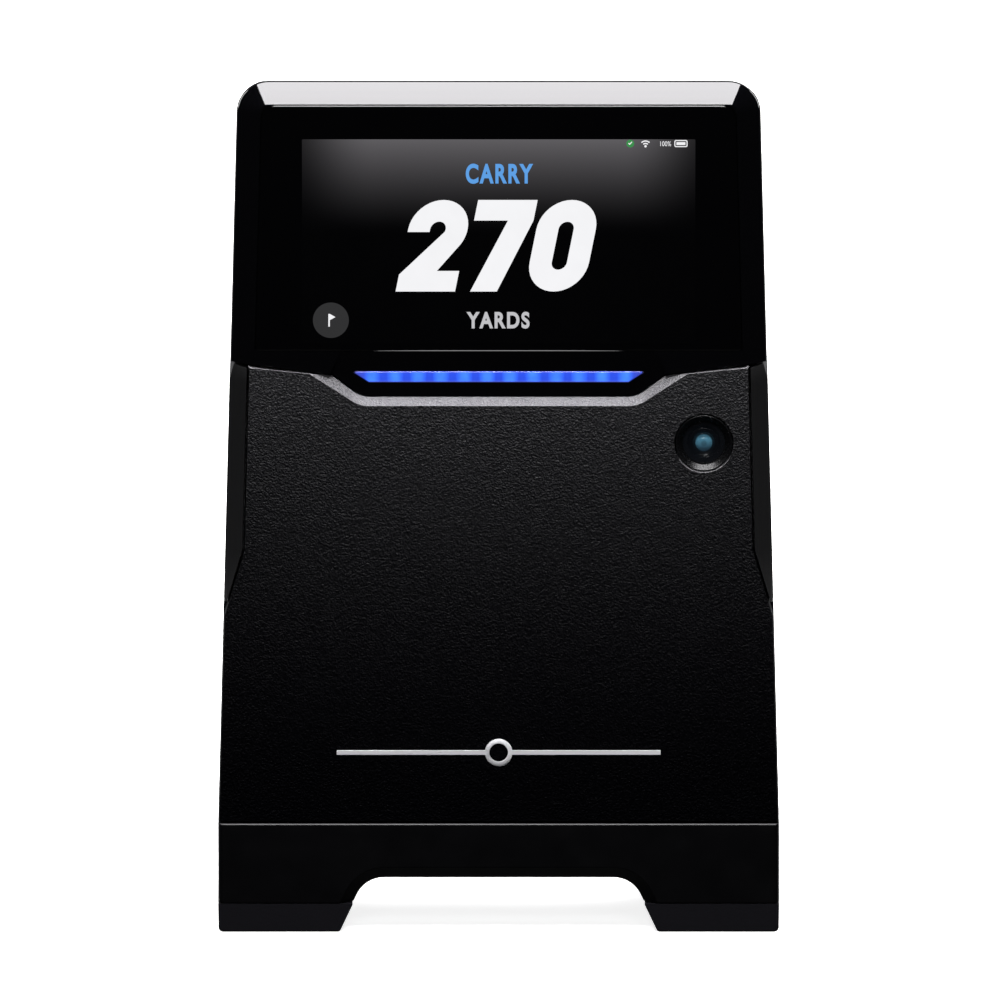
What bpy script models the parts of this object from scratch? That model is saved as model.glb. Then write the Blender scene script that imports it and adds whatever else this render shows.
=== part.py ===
"""A free-standing golf launch monitor, built piece by piece.

Frame: metres, +Z up, +X to the object's right as seen from the front, front facing -Y.
The origin is the middle of the footprint, on the surface that the feet stand on.
"""

import math

import bmesh
import bpy
from mathutils import Vector

MM = 0.001

# ---------------------------------------------------------------- driving sizes
HEIGHT = 254.0 * MM
WIDTH = 166.0 * MM
DEPTH = 78.0 * MM
HEAD_HEIGHT = 84.1 * MM
BASE_TOP = 32.6 * MM
SIDE_TAPER = math.radians(1.5)
WALL = 2.5 * MM
GAP = 0.3 * MM

# Front panel and the ledge round the chin of the head
PANEL_THICK = 3.0 * MM
PANEL_SETBACK = 0.6 * MM
PANEL_EDGE = 0.4 * MM
LEDGE_DEPTH = 2.4 * MM
LEDGE_WIDTH = 2.25 * MM
LEDGE_SPREAD = 0.1 * MM
CHIN_DROP = 9.8 * MM
CHIN_KNEE_DROP = 3.1 * MM
CHIN_HALF = 40.9 * MM
CHIN_KNEE_HALF = 49.5 * MM
LEDGE_KNEE_HALF = 55.9 * MM
LEDGE_KNEE_DROP = 2.45 * MM
CHIN_RADIUS = 9.0 * MM

# Side grips: a slanting facet at each front corner that runs out near the bottom
FACET_WIDTH = 5.2 * MM
FACET_DEPTH = 8.4 * MM
FACET_FOOT = 63.4 * MM
FACET_FULL = 82.0 * MM
GRIP_FOOT = 66.4 * MM
GRIP_REACH = 43.4 * MM

# Base, arch and feet
PAD_HEIGHT = 8.5 * MM
ARCH_TOP = 15.8 * MM
ARCH_HALF = 33.9 * MM
ARCH_RADIUS = 9.0 * MM
ARCH_SLANT = math.radians(25.7)
ARCH_BEVEL = 3.6 * MM
BASE_CORNER = 1.5 * MM
TILT_START = 19.0 * MM
TILT_RISE = 4.0 * MM
PAD_EDGE = 0.9 * MM

# Rear corners, head
REAR_RADIUS = 9.0 * MM
HEAD_STEP = 0.1 * MM
HEAD_RADIUS = 9.6 * MM
HEAD_BEVEL = 7.0 * MM
TOP_BEVEL = 6.0 * MM
BEZEL_DEPTH = 14.0 * MM
BEZEL_PLATE = 4.5 * MM
CHIN_WALL = 1.5 * MM
ROOF_SLOPE = math.radians(11.0)
HEAD_REAR_SLOPE = math.radians(10.5)
SEAM_GAP = 0.5 * MM

# Display
GLASS_THICK = 1.8 * MM
GLASS_BORDER = 0.5 * MM
CREASE_RISE = 4.4 * MM
SCREEN_SIDE = 13.8 * MM
SCREEN_TOP = 10.4 * MM
SCREEN_FOOT = 2.2 * MM
OLED_BORDER = 1.4 * MM
OLED_THICK = 2.2 * MM
SCOOP_DEPTH = 2.6 * MM
SCOOP_SPREAD = 3.0 * MM

# Light bar
BAR_TOP_HALF = 43.0 * MM
BAR_FOOT_HALF = 38.3 * MM
BAR_HEIGHT = 3.1 * MM
BAR_RISE = 4.65 * MM
BAR_SINK = 0.2 * MM
LED_COUNT = 12
LED_PITCH = 6.8 * MM
LED_SIZE = 2.4 * MM

# Camera
CAMERA_INSET = 22.4 * MM
CAMERA_DROP = 23.2 * MM
CAMERA_RADIUS = 8.4 * MM
CAMERA_WINDOW = 6.3 * MM
CAMERA_RIM = 0.3 * MM
CAMERA_SEAT = 3.0 * MM
CAMERA_LIP = 1.4 * MM
WINDOW_THICK = 0.9 * MM
LENS_DROP = 0.9 * MM
BARREL_RADIUS = 4.9 * MM
LENS_RADIUS = 2.6 * MM

# Radar
RADAR_HALF = 54.0 * MM
RADAR_FOOT = 15.0 * MM
RADAR_TOP = 41.0 * MM
RADAR_WINDOW = 2.0 * MM
PATCH_SIZE = 7.0 * MM
PATCH_PITCH = 13.0 * MM
PATCH_COLUMNS = 7
PATCH_ROWS = 5
BOARD_THICK = 1.6 * MM
SHIELD_DEPTH = 7.9 * MM

# Chassis and electronics
CHASSIS_SETBACK = 16.5 * MM
CHASSIS_THICK = 2.5 * MM
BOARD_OFFSET = 3.0 * MM
BOARD_SIDE = 16.0 * MM
HEAT_SINK_HALF = 34.0 * MM
HEAT_SINK_HEIGHT = 40.0 * MM
HEAT_SINK_DEPTH = 12.0 * MM
FIN_COUNT = 9
FIN_THICK = 1.6 * MM

# Battery
CELL_RADIUS = 10.6 * MM
CELL_LENGTH = 70.0 * MM
CELL_PITCH = 22.5 * MM
HOLDER_THICK = 3.2 * MM
HOLDER_HOLD = 2.4 * MM

# Kickstand
STAND_HALF = 50.0 * MM
STAND_HINGE_RISE = 12.4 * MM
STAND_LENGTH = 63.0 * MM
STAND_THICK = 4.0 * MM
STAND_SINK = 0.8 * MM
STAND_FLOOR = 7.0 * MM
STAND_CLEAR = 7.2 * MM
STAND_WINDOW = 25.0 * MM
STAND_BAR = 11.0 * MM
TRAY_RIM = 2.0 * MM
KNUCKLE_RADIUS = 3.1 * MM
STAND_PIN_RADIUS = 1.5 * MM
PIN_FIT = 0.35 * MM
STAND_SIDE = 0.4 * MM
WASHER_THICK = 0.4 * MM
WASHER_RADIUS = 2.8 * MM
TIP_HEIGHT = 3.0 * MM
FINGER_GAP = 12.0 * MM

# Button, port, insert
BUTTON_INSET = 31.0 * MM
BUTTON_DROP = 16.0 * MM
BUTTON_RADIUS = 5.0 * MM
BUTTON_TRAVEL = 1.2 * MM
BUTTON_PROUD = 0.6 * MM
BUTTON_FLANGE = 1.4 * MM
LIGHT_INSET = 45.0 * MM
LIGHT_RADIUS = 1.2 * MM
PORT_HALF = 16.0 * MM
PORT_FOOT = 18.8 * MM
PORT_HEIGHT = 10.4 * MM
PORT_COVER_THICK = 1.6 * MM
PORT_RECESS = 6.6 * MM
PORT_PIN_RADIUS = 0.6 * MM
PORT_CROWN = 1.4 * MM
SOCKET_HALF = 4.5 * MM
SOCKET_HEIGHT = 3.2 * MM
SOCKET_DEPTH = 7.5 * MM
SOCKET_WALL = 0.4 * MM
SOCKET_DROP = 6.2 * MM
TONGUE_HALF = 3.3 * MM
INSERT_RADIUS = 6.0 * MM
INSERT_BORE = 3.2 * MM
INSERT_FLANGE = 10.0 * MM
INSERT_LENGTH = 12.0 * MM

# Fasteners
SCREW_HEAD = 2.7 * MM
SCREW_HEAD_THICK = 1.3 * MM
SCREW_SINK = 0.2 * MM
SCREW_SHANK = 1.4 * MM
SCREW_LENGTH = 8.0 * MM
POST_RADIUS = 2.9 * MM
POST_EDGE = 9.4 * MM
POST_RISE = 9.0 * MM

# Badge: a ring between two bars, set in pockets in the front panel
BADGE_Z = 21.3 * MM
BADGE_HALF = 47.9 * MM
BADGE_RING = 4.1 * MM
BADGE_LINE = 1.3 * MM
BADGE_THICK = 0.9 * MM
BADGE_PROUD = 0.25 * MM

ROUND = 24
SMALL_ROUND = 16

# ---------------------------------------------------------------- levels and planes
SEAM = HEIGHT - HEAD_HEIGHT
BODY_FOOT = BASE_TOP + GAP
BODY_TOP = SEAM - GAP
HEAD_FOOT = BODY_TOP + SEAM_GAP
FRONT = -DEPTH / 2
REAR = DEPTH / 2
PANEL_FRONT = FRONT + PANEL_SETBACK
PANEL_BACK = PANEL_FRONT + PANEL_THICK
WALL_FRONT = PANEL_BACK + GAP
WALL_BACK = WALL_FRONT + 2.0 * MM
BODY_REAR = REAR - 2.0 * MM
HEAD_FRONT = PANEL_FRONT + 0.4 * MM
BEZEL_BACK = HEAD_FRONT + BEZEL_DEPTH
PLATE_BACK = HEAD_FRONT + BEZEL_PLATE
SHELL_FRONT = BEZEL_BACK + GAP
GLASS_BACK = HEAD_FRONT + GLASS_THICK + GAP
CHASSIS_FRONT = PANEL_BACK + CHASSIS_SETBACK - PANEL_THICK
CHASSIS_BACK = CHASSIS_FRONT + CHASSIS_THICK
BOARD_FRONT = CHASSIS_BACK + BOARD_OFFSET
BOARD_BACK = BOARD_FRONT + BOARD_THICK
CHIN_Z = SEAM - CHIN_DROP
CREASE_Z = SEAM + CREASE_RISE
TRAY_FLOOR = BODY_REAR - STAND_FLOOR
HINGE_Y = TRAY_FLOOR + KNUCKLE_RADIUS + 0.5 * MM
HINGE_Z = BASE_TOP + STAND_HINGE_RISE
CAMERA_X = WIDTH / 2 - CAMERA_INSET
CAMERA_Z = SEAM - CAMERA_DROP
BUTTON_X = WIDTH / 2 - BUTTON_INSET
LIGHT_X = WIDTH / 2 - LIGHT_INSET
RADAR_LOW = BASE_TOP + RADAR_FOOT
RADAR_HIGH = SEAM - RADAR_TOP


def side(z):
    """Half the body's width at height z: upright in the base, then leaning in."""
    return WIDTH / 2 - max(0.0, z - BASE_TOP) * math.tan(SIDE_TAPER)


def facet(z):
    """Width of the slanting corner facet at height z."""
    rise = (z - BASE_TOP - FACET_FOOT) / (FACET_FULL - FACET_FOOT)
    return FACET_WIDTH * min(1.0, max(0.0, rise))


def corner_step(distance, radius):
    """How far a round corner draws in, at this distance from the face that it runs into."""
    reach = radius - min(radius, max(0.0, distance))
    return radius - math.sqrt(radius**2 - reach**2)


# ---------------------------------------------------------------- materials
MATERIALS = {
    "textured_black": ((0.020, 0.020, 0.022), 0.62, 0.0),
    "satin_black": ((0.010, 0.010, 0.011), 0.38, 0.0),
    "gloss_black": ((0.004, 0.004, 0.005), 0.06, 0.0),
    "soft_black": ((0.012, 0.012, 0.013), 0.75, 0.0),
    "rubber_black": ((0.018, 0.017, 0.020), 0.85, 0.0),
    "cover_glass": ((0.004, 0.004, 0.005), 0.03, 0.0),
    "screen_black": ((0.006, 0.006, 0.007), 0.25, 0.0),
    "light_blue": ((0.030, 0.110, 0.900), 0.30, 0.0),
    "led_white": ((0.850, 0.870, 0.900), 0.30, 0.0),
    "lens_glass": ((0.060, 0.160, 0.220), 0.05, 0.0),
    "clear_window": ((0.020, 0.022, 0.024), 0.04, 0.0),
    "board_green": ((0.020, 0.120, 0.060), 0.50, 0.0),
    "gold_patch": ((0.700, 0.480, 0.180), 0.35, 1.0),
    "tinned_steel": ((0.600, 0.610, 0.620), 0.35, 1.0),
    "aluminium": ((0.560, 0.570, 0.580), 0.40, 1.0),
    "dark_anodised": ((0.050, 0.050, 0.055), 0.42, 1.0),
    "chip_black": ((0.015, 0.015, 0.016), 0.50, 0.0),
    "cell_wrap": ((0.060, 0.200, 0.420), 0.45, 0.0),
    "holder_black": ((0.025, 0.025, 0.027), 0.55, 0.0),
    "cable_black": ((0.015, 0.015, 0.016), 0.50, 0.0),
    "flex_amber": ((0.420, 0.200, 0.040), 0.40, 0.0),
    "screw_black": ((0.030, 0.030, 0.032), 0.35, 1.0),
    "steel": ((0.550, 0.550, 0.560), 0.30, 1.0),
    "brass": ((0.720, 0.540, 0.220), 0.30, 1.0),
    "badge_silver": ((0.780, 0.780, 0.800), 0.22, 1.0),
}


def make_materials():
    for name, (colour, roughness, metallic) in MATERIALS.items():
        material = bpy.data.materials.new(name)
        material.use_nodes = True
        shader = material.node_tree.nodes["Principled BSDF"]
        shader.inputs["Base Color"].default_value = (*colour, 1.0)
        shader.inputs["Roughness"].default_value = roughness
        shader.inputs["Metallic"].default_value = metallic


# ---------------------------------------------------------------- shape helpers
def rounded(corners, steps=3):
    """A closed outline from (x, z, radius) corners, each radius above 0 drawn as an arc."""
    points = []
    for index, (x, z, radius) in enumerate(corners):
        here = Vector((x, z))
        if radius <= 0:
            points.append(here)
            continue
        before = (Vector(corners[index - 1][:2]) - here).normalized()
        after = (Vector(corners[(index + 1) % len(corners)][:2]) - here).normalized()
        half = before.angle(after) / 2
        centre = here + (before + after).normalized() * radius / math.sin(half)
        start = here + before * radius / math.tan(half) - centre
        end = here + after * radius / math.tan(half) - centre
        sweep = start.angle(end)
        for step in range(steps + 1):
            t = step / steps
            spoke = start * math.sin((1 - t) * sweep) + end * math.sin(t * sweep)
            points.append(centre + spoke / math.sin(sweep))
    return points


def at_depth(points, y):
    """An outline seen from the front, placed at depth y."""
    return [(p.x, y, p.y) for p in points]


def at_height(points, z):
    """An outline seen from above, placed at height z."""
    return [(p.x, p.y, z) for p in points]


def loft(bm, rings, closed=False):
    """Joins rings of equal length. Open lofts get end faces, closed ones return to the first ring."""
    rows = [[bm.verts.new(p) for p in ring] for ring in rings]
    pairs = list(zip(rows, rows[1:]))
    if closed:
        pairs.append((rows[-1], rows[0]))
    for low, high in pairs:
        for i in range(len(low)):
            j = (i + 1) % len(low)
            bm.faces.new((low[i], low[j], high[j], high[i]))
    if not closed:
        bm.faces.new(rows[0])
        bm.faces.new(rows[-1])


def add_box(bm, low, high):
    corners = [(low[0], low[1]), (high[0], low[1]), (high[0], high[1]), (low[0], high[1])]
    loft(bm, [[(x, y, z) for x, y in corners] for z in (low[2], high[2])])


def circle(centre, radius, axis, sides):
    across, up = {
        "x": (Vector((0, 1, 0)), Vector((0, 0, 1))),
        "y": (Vector((0, 0, 1)), Vector((1, 0, 0))),
        "z": (Vector((1, 0, 0)), Vector((0, 1, 0))),
    }[axis]
    turns = [2 * math.pi * (i + 0.5) / sides for i in range(sides)]
    return [
        Vector(centre) + across * radius * math.cos(a) + up * radius * math.sin(a)
        for a in turns
    ]


def turned(bm, centre, axis, profile, sides=ROUND, hollow=False):
    """A turned shape from (radius, distance along the axis) pairs. A hollow one closes on itself."""
    along = {"x": Vector((1, 0, 0)), "y": Vector((0, 1, 0)), "z": Vector((0, 0, 1))}[axis]
    rings = [circle(Vector(centre) + along * d, r, axis, sides) for r, d in profile]
    loft(bm, rings, closed=hollow)


def rod(bm, centre, axis, radius, start, end, sides=SMALL_ROUND):
    turned(bm, centre, axis, [(radius, start), (radius, end)], sides)


def part(name, bm, material, origin=(0, 0, 0)):
    """A named object from a mesh drawn in the object's frame, with its own origin at origin."""
    bmesh.ops.recalc_face_normals(bm, faces=bm.faces)
    bmesh.ops.translate(bm, vec=-Vector(origin), verts=bm.verts)
    mesh = bpy.data.meshes.new(name)
    bm.to_mesh(mesh)
    bm.free()
    mesh.shade_smooth()
    mesh.set_sharp_from_angle(angle=math.radians(32))
    obj = bpy.data.objects.new(name, mesh)
    obj.location = origin
    bpy.context.scene.collection.objects.link(obj)
    if material:
        mesh.materials.append(bpy.data.materials[material])
    return obj


def boolean(obj, name, bm, operation="DIFFERENCE"):
    """Cuts obj with the shape in bm, or joins it. The helper is not part of the object."""
    helper = part(name, bm, None)
    helper.hide_render = True
    helper.display_type = "WIRE"
    modifier = obj.modifiers.new(name, "BOOLEAN")
    modifier.operation = operation
    modifier.solver = "EXACT"
    modifier.object = helper


# ---------------------------------------------------------------- base and feet
def arch(offset, foot):
    """Left half of the arch, from the foot level up and in to the ceiling, grown by offset."""
    radius = ARCH_RADIUS + offset
    centre = Vector((ARCH_HALF, ARCH_TOP - ARCH_RADIUS))
    turn = math.pi / 2 - ARCH_SLANT
    steps = 4
    arc = [
        centre + radius * Vector((math.sin(turn * t / steps), math.cos(turn * t / steps)))
        for t in range(steps + 1)
    ]
    lowest = arc[-1]
    toe = Vector((lowest.x + (lowest.y - foot) * math.tan(ARCH_SLANT), foot))
    return [Vector((-p.x, p.y)) for p in [toe, *reversed(arc)]]


def base_ring(y):
    """Front-view outline of the base at depth y."""
    front_step, rear_step = y - FRONT, REAR - y
    narrow = max(0.0, BASE_CORNER - front_step, corner_step(rear_step, REAR_RADIUS))
    grown = max(0.0, ARCH_BEVEL - front_step)
    half = WIDTH / 2 - narrow
    top = BASE_TOP - max(0.0, 0.5 * MM - front_step)
    foot = PAD_HEIGHT + GAP
    left = arch(grown, foot)
    right = [Vector((-p.x, p.y)) for p in reversed(left)]
    outline = [Vector((half, foot)), Vector((half, top)), Vector((-half, top)), Vector((-half, foot))]
    return at_depth(left + right + outline, y)


def build_base():
    bm = bmesh.new()
    steps_front = [0.0, 0.5 * MM, BASE_CORNER, ARCH_BEVEL]
    steps_rear = [REAR_RADIUS, 4.5 * MM, 1.8 * MM, 0.35 * MM, 0.0]
    depths = [FRONT + s for s in steps_front] + [REAR - s for s in steps_rear]
    loft(bm, [base_ring(y) for y in depths])
    base = part("base_housing", bm, "satin_black")

    bm = bmesh.new()
    foot_floor = PAD_HEIGHT + GAP + WALL + 1.0 * MM
    bay_floor = ARCH_TOP + WALL
    inner = WIDTH / 2 - WALL
    bay = ARCH_HALF + ARCH_RADIUS + WALL
    outline = [
        (-inner, foot_floor),
        (-bay - 6.0 * MM, foot_floor),
        (-bay, bay_floor),
        (bay, bay_floor),
        (bay + 6.0 * MM, foot_floor),
        (inner, foot_floor),
        (inner, BASE_TOP + 5 * MM),
        (-inner, BASE_TOP + 5 * MM),
    ]
    outline = [Vector(p) for p in outline]
    cavity = (FRONT + ARCH_BEVEL + WALL, REAR - PORT_RECESS - WALL - 1.0 * MM)
    loft(bm, [at_depth(outline, y) for y in cavity])
    boolean(base, "cut_base_cavity", bm)

    bm = bmesh.new()
    rod(bm, (0, 0, ARCH_TOP), "z", INSERT_RADIUS + GAP, -5 * MM, WALL + 5 * MM, ROUND)
    seat = PAD_HEIGHT + 2 * GAP + SCREW_HEAD_THICK
    for x, y in base_screw_places():
        screw_hole(bm, (x, y, 0), "z", [PAD_HEIGHT - 3 * MM, seat, seat, foot_floor + 5 * MM])
    boolean(base, "cut_base_holes", bm)

    bm = bmesh.new()
    port_top = PORT_FOOT + PORT_HEIGHT
    add_box(bm, (-PORT_HALF, REAR - PORT_RECESS, PORT_FOOT), (PORT_HALF, REAR + 5 * MM, port_top))
    boolean(base, "cut_port_recess", bm)
    bm = bmesh.new()
    mouth = SOCKET_HALF + GAP
    middle = socket_height()
    rise = SOCKET_HEIGHT / 2 + GAP
    add_box(bm, (-mouth, REAR - 25 * MM, middle - rise), (mouth, REAR - 2 * MM, middle + rise))
    boolean(base, "cut_port_mouth", bm)
    bm = bmesh.new()
    reach = PORT_HALF + 3.0 * MM
    rod(bm, (0, *port_hinge()), "x", PORT_PIN_RADIUS + GAP, -reach, reach, 12)
    boolean(base, "cut_port_pin", bm)


def port_hinge():
    """(y, z) of the port cover's hinge line, near the top edge of the recess."""
    return REAR - PORT_CROWN, PORT_FOOT + PORT_HEIGHT - PORT_CROWN - GAP


def socket_height():
    return PORT_FOOT + PORT_HEIGHT - SOCKET_DROP


def base_screw_places():
    x = WIDTH / 2 - 12 * MM
    return [(sx * x, sy * (DEPTH / 2 - 15 * MM)) for sx in (-1, 1) for sy in (-1, 1)]


def pad_stations():
    """(depth, height of the underside, narrowing at the outer side) along a foot pad."""
    slope = TILT_RISE / (REAR - TILT_START)
    stations = [(FRONT, PAD_EDGE, 0.6 * MM), (FRONT + PAD_EDGE, 0.0, 0.0), (TILT_START, 0.0, 0.0)]
    for step in (REAR_RADIUS, 4.5 * MM, 1.8 * MM, 0.4 * MM):
        y = REAR - step
        narrow = corner_step(step, REAR_RADIUS)
        stations.append((y, (y - TILT_START) * slope, narrow))
    return stations


def build_pads():
    for name, sign in (("foot_pad_left", -1), ("foot_pad_right", 1)):
        bm = bmesh.new()
        rings = []
        for y, low, narrow in pad_stations():
            outer = WIDTH / 2 - narrow
            toe = -arch(0.0, low)[0].x
            heel = -arch(0.0, PAD_HEIGHT)[0].x
            ring = [
                (heel, PAD_HEIGHT),
                (outer, PAD_HEIGHT),
                (outer - 0.2 * MM, low + PAD_EDGE * 1.4),
                (outer - PAD_EDGE, low),
                (toe + PAD_EDGE * 0.6, low),
                (toe - 0.2 * MM, low + PAD_EDGE * 0.6),
            ]
            rings.append([(sign * x, y, z) for x, z in ring])
        loft(bm, rings)
        part(name, bm, "rubber_black")


# ---------------------------------------------------------------- lower body
def body_section(z, margin):
    """The body seen from above at height z, moved in by margin: square front, round rear corners."""
    half = side(z) - margin
    radius = REAR_RADIUS - margin
    rear = BODY_REAR - margin
    front = WALL_FRONT if margin == 0 else WALL_BACK
    corners = [(-half, front, 0), (half, front, 0), (half, rear, radius), (-half, rear, radius)]
    return rounded(corners)


def grip_section(z, clearance):
    """The right grip seen from above. With clearance it becomes the shape that is cut for it."""
    half, width = side(z), facet(z)
    inner = half - WALL - clearance
    heel = GRIP_REACH + FRONT + clearance
    nose = half - width - clearance
    if clearance:
        out, ahead = half + 5 * MM, FRONT - 6 * MM
        outer = [(nose, ahead), (out, ahead), (out, heel)]
    else:
        outer = [(nose, PANEL_FRONT), (half, PANEL_FRONT + FACET_DEPTH), (half, heel)]
    return outer + [(inner, heel), (inner, WALL_BACK + 6 * MM), (nose, WALL_BACK + 1.0 * MM)]


def grip_levels(clearance):
    foot = BASE_TOP + GRIP_FOOT - clearance
    top = BODY_TOP + (10 * MM if clearance else -0.4 * MM)
    return [foot, BASE_TOP + FACET_FULL, top]


def build_grips():
    for name, sign in (("side_grip_left", -1), ("side_grip_right", 1)):
        bm = bmesh.new()
        rings = []
        for z in grip_levels(0.0):
            rings.append([(sign * x, y, z) for x, y in grip_section(z, 0.0)])
        loft(bm, rings)
        part(name, bm, "soft_black")


def build_body_shell():
    bm = bmesh.new()
    outer = [at_height(body_section(z, 0.0), z) for z in (BODY_FOOT, BODY_TOP)]
    inner = [at_height(body_section(z, WALL), z) for z in (BODY_TOP, BODY_FOOT)]
    loft(bm, outer + inner, closed=True)
    shell = part("body_shell", bm, "satin_black")

    for name, sign in (("cut_grip_left", -1), ("cut_grip_right", 1)):
        bm = bmesh.new()
        rings = []
        for z in grip_levels(GAP):
            rings.append([(sign * x, y, z) for x, y in grip_section(z, GAP)])
        loft(bm, rings)
        boolean(shell, name, bm)

    bm = bmesh.new()
    window = RADAR_HALF + RADAR_WINDOW
    ahead = WALL_FRONT - 3 * MM
    behind = WALL_BACK + 3 * MM
    low, high = RADAR_LOW - RADAR_WINDOW, RADAR_HIGH + RADAR_WINDOW
    add_box(bm, (-window, ahead, low), (window, behind, high))
    rod(bm, (CAMERA_X, 0, CAMERA_Z), "y", CAMERA_RADIUS + GAP, ahead, behind, ROUND)
    boolean(shell, "cut_front_openings", bm)
    bm = bmesh.new()
    chin = bezel_outline(-1.0 * MM, 0.0, -0.45 * MM)
    loft(bm, [at_depth(chin, y) for y in (ahead, WALL_BACK + 3 * MM)])
    boolean(shell, "cut_chin_notch", bm)

    bm = bmesh.new()
    half, low, high = tray_opening()
    add_box(bm, (-half, BODY_REAR - 10 * MM, low), (half, BODY_REAR + 5 * MM, high))
    behind = BODY_REAR + 5 * MM
    inside = BODY_REAR - WALL - 4 * MM
    rod(bm, (BUTTON_X, 0, button_height()), "y", BUTTON_RADIUS + GAP, inside, behind, ROUND)
    rod(bm, (LIGHT_X, 0, button_height()), "y", LIGHT_RADIUS + GAP, inside, behind, 12)
    seat = BODY_REAR - SCREW_SINK - SCREW_HEAD_THICK - GAP
    for x, z in post_places():
        screw_hole(bm, (x, 0, z), "y", [behind, seat, seat, inside])
    boolean(shell, "cut_rear_openings", bm)


def ledge_outline(depth_share):
    """The front panel seen from the front. 0 is the outline at the chin, 1 the proud face."""
    edge = PANEL_EDGE * depth_share
    foot = BODY_FOOT + edge
    run_out = BASE_TOP + FACET_FOOT - 1.1 * MM
    full = BASE_TOP + FACET_FULL
    high = BODY_TOP - edge
    knee_half = CHIN_KNEE_HALF + (LEDGE_KNEE_HALF - CHIN_KNEE_HALF) * depth_share
    knee_z = SEAM - CHIN_KNEE_DROP + (CHIN_KNEE_DROP - LEDGE_KNEE_DROP) * depth_share
    chin_half = CHIN_HALF + LEDGE_SPREAD * depth_share
    chin_z = CHIN_Z - LEDGE_WIDTH * depth_share
    right = [
        (side(foot) - edge, foot, 0),
        (side(run_out) - edge, run_out, 0),
        (side(full) - facet(full) - GAP - edge, full, 0),
        (side(high) - facet(high) - GAP - edge, high, 0),
        (knee_half, knee_z, 0),
        (chin_half, chin_z, CHIN_RADIUS),
    ]
    left = [(-x, z, r) for x, z, r in reversed(right)]
    return rounded(right + left)


def build_front_panel():
    bm = bmesh.new()
    deep, proud = ledge_outline(0), ledge_outline(1)
    ledge_y = PANEL_FRONT + LEDGE_DEPTH
    rings = [at_depth(deep, PANEL_BACK), at_depth(deep, ledge_y), at_depth(proud, PANEL_FRONT)]
    loft(bm, rings)
    panel = part("front_panel", bm, "textured_black")

    bm = bmesh.new()
    camera = (CAMERA_X, 0, CAMERA_Z)
    rod(bm, camera, "y", CAMERA_RADIUS + GAP, FRONT - 3 * MM, PANEL_BACK + 3 * MM, ROUND)
    boolean(panel, "cut_camera_hole", bm)
    for name, draw in (("cut_badge_ring", badge_ring), ("cut_badge_bars", badge_bars)):
        bm = bmesh.new()
        draw(bm, GAP, PANEL_FRONT - 3 * MM, PANEL_FRONT + BADGE_THICK - BADGE_PROUD + GAP)
        boolean(panel, name, bm)


def badge_ring(bm, grown, front, back):
    outer, inner = BADGE_RING + grown, BADGE_RING - BADGE_LINE - grown
    profile = [(outer, front), (outer, back), (inner, back), (inner, front)]
    turned(bm, (0, 0, BASE_TOP + BADGE_Z), "y", profile, ROUND, hollow=True)


def badge_bars(bm, grown, front, back):
    z = BASE_TOP + BADGE_Z
    line = BADGE_LINE / 2 + grown
    start = BADGE_RING - BADGE_LINE / 2
    end = BADGE_HALF + grown
    add_box(bm, (start, front, z - line), (end, back, z + line))
    add_box(bm, (-end, front, z - line), (-start, back, z + line))


def build_badge():
    front, back = PANEL_FRONT - BADGE_PROUD, PANEL_FRONT + BADGE_THICK - BADGE_PROUD
    bm = bmesh.new()
    badge_ring(bm, 0.0, front, back)
    badge = part("badge", bm, "badge_silver")
    bm = bmesh.new()
    badge_bars(bm, 0.0, front, back)
    boolean(badge, "join_badge_bars", bm, "UNION")


# ---------------------------------------------------------------- head
def bezel_outline(margin, drop, foot_margin=0.0):
    """The head seen from the front: round top corners, and the chin that fills the panel's notch."""
    foot = HEAD_FOOT + foot_margin
    top = HEIGHT - margin * TOP_BEVEL / HEAD_BEVEL - drop
    radius = max(1.0 * MM, HEAD_RADIUS - margin)
    step = HEAD_STEP + margin
    knee = (CHIN_KNEE_HALF - 0.5 * MM - foot_margin * 0.5, SEAM - CHIN_KNEE_DROP + 0.5 * MM + foot_margin)
    chin = (CHIN_HALF - 0.3 * MM - foot_margin * 0.5, CHIN_Z + 0.4 * MM + foot_margin)
    right = [
        (*chin, CHIN_RADIUS),
        (*knee, 0),
        (side(foot) - step, foot, 0),
        (side(top) - step, top, radius),
    ]
    left = [(-x, z, r) for x, z, r in reversed(right)]
    return rounded(right + left, 4)


def glass_outline(grown):
    """The cover glass seen from the front."""
    margin = HEAD_BEVEL + GLASS_BORDER - grown
    top = HEIGHT - TOP_BEVEL - GLASS_BORDER + grown
    foot = CREASE_Z - grown
    radius = HEAD_RADIUS - HEAD_BEVEL + 1.6 * MM
    step = HEAD_STEP + margin
    right = [(side(foot) - step, foot, 1.0 * MM), (side(top) - step, top, radius)]
    left = [(-x, z, r) for x, z, r in reversed(right)]
    return rounded(right + left)


def screen_box(border):
    """((low x, low z), (high x, high z)) of the display's lit area, grown by border."""
    half = side(SEAM) - HEAD_STEP - HEAD_BEVEL - GLASS_BORDER - SCREEN_SIDE + border
    low = CREASE_Z + SCREEN_FOOT - border
    high = HEIGHT - TOP_BEVEL - SCREEN_TOP + border
    return (-half, low), (half, high)


def bar_outline(grown):
    foot = CHIN_Z + BAR_RISE - grown
    top = CHIN_Z + BAR_RISE + BAR_HEIGHT + grown
    slope = (BAR_TOP_HALF - BAR_FOOT_HALF) / BAR_HEIGHT
    across = math.hypot(1.0, slope)
    low_half = BAR_FOOT_HALF + grown * (across - slope)
    high_half = BAR_TOP_HALF + grown * (across + slope)
    corners = [(-low_half, foot), (low_half, foot), (high_half, top), (-high_half, top)]
    return [Vector(c) for c in corners]


def scoop_y(z):
    """Depth of the chin's sloping face at height z."""
    return HEAD_FRONT + SCOOP_DEPTH * (CREASE_Z - z) / (CREASE_Z - CHIN_Z)


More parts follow.
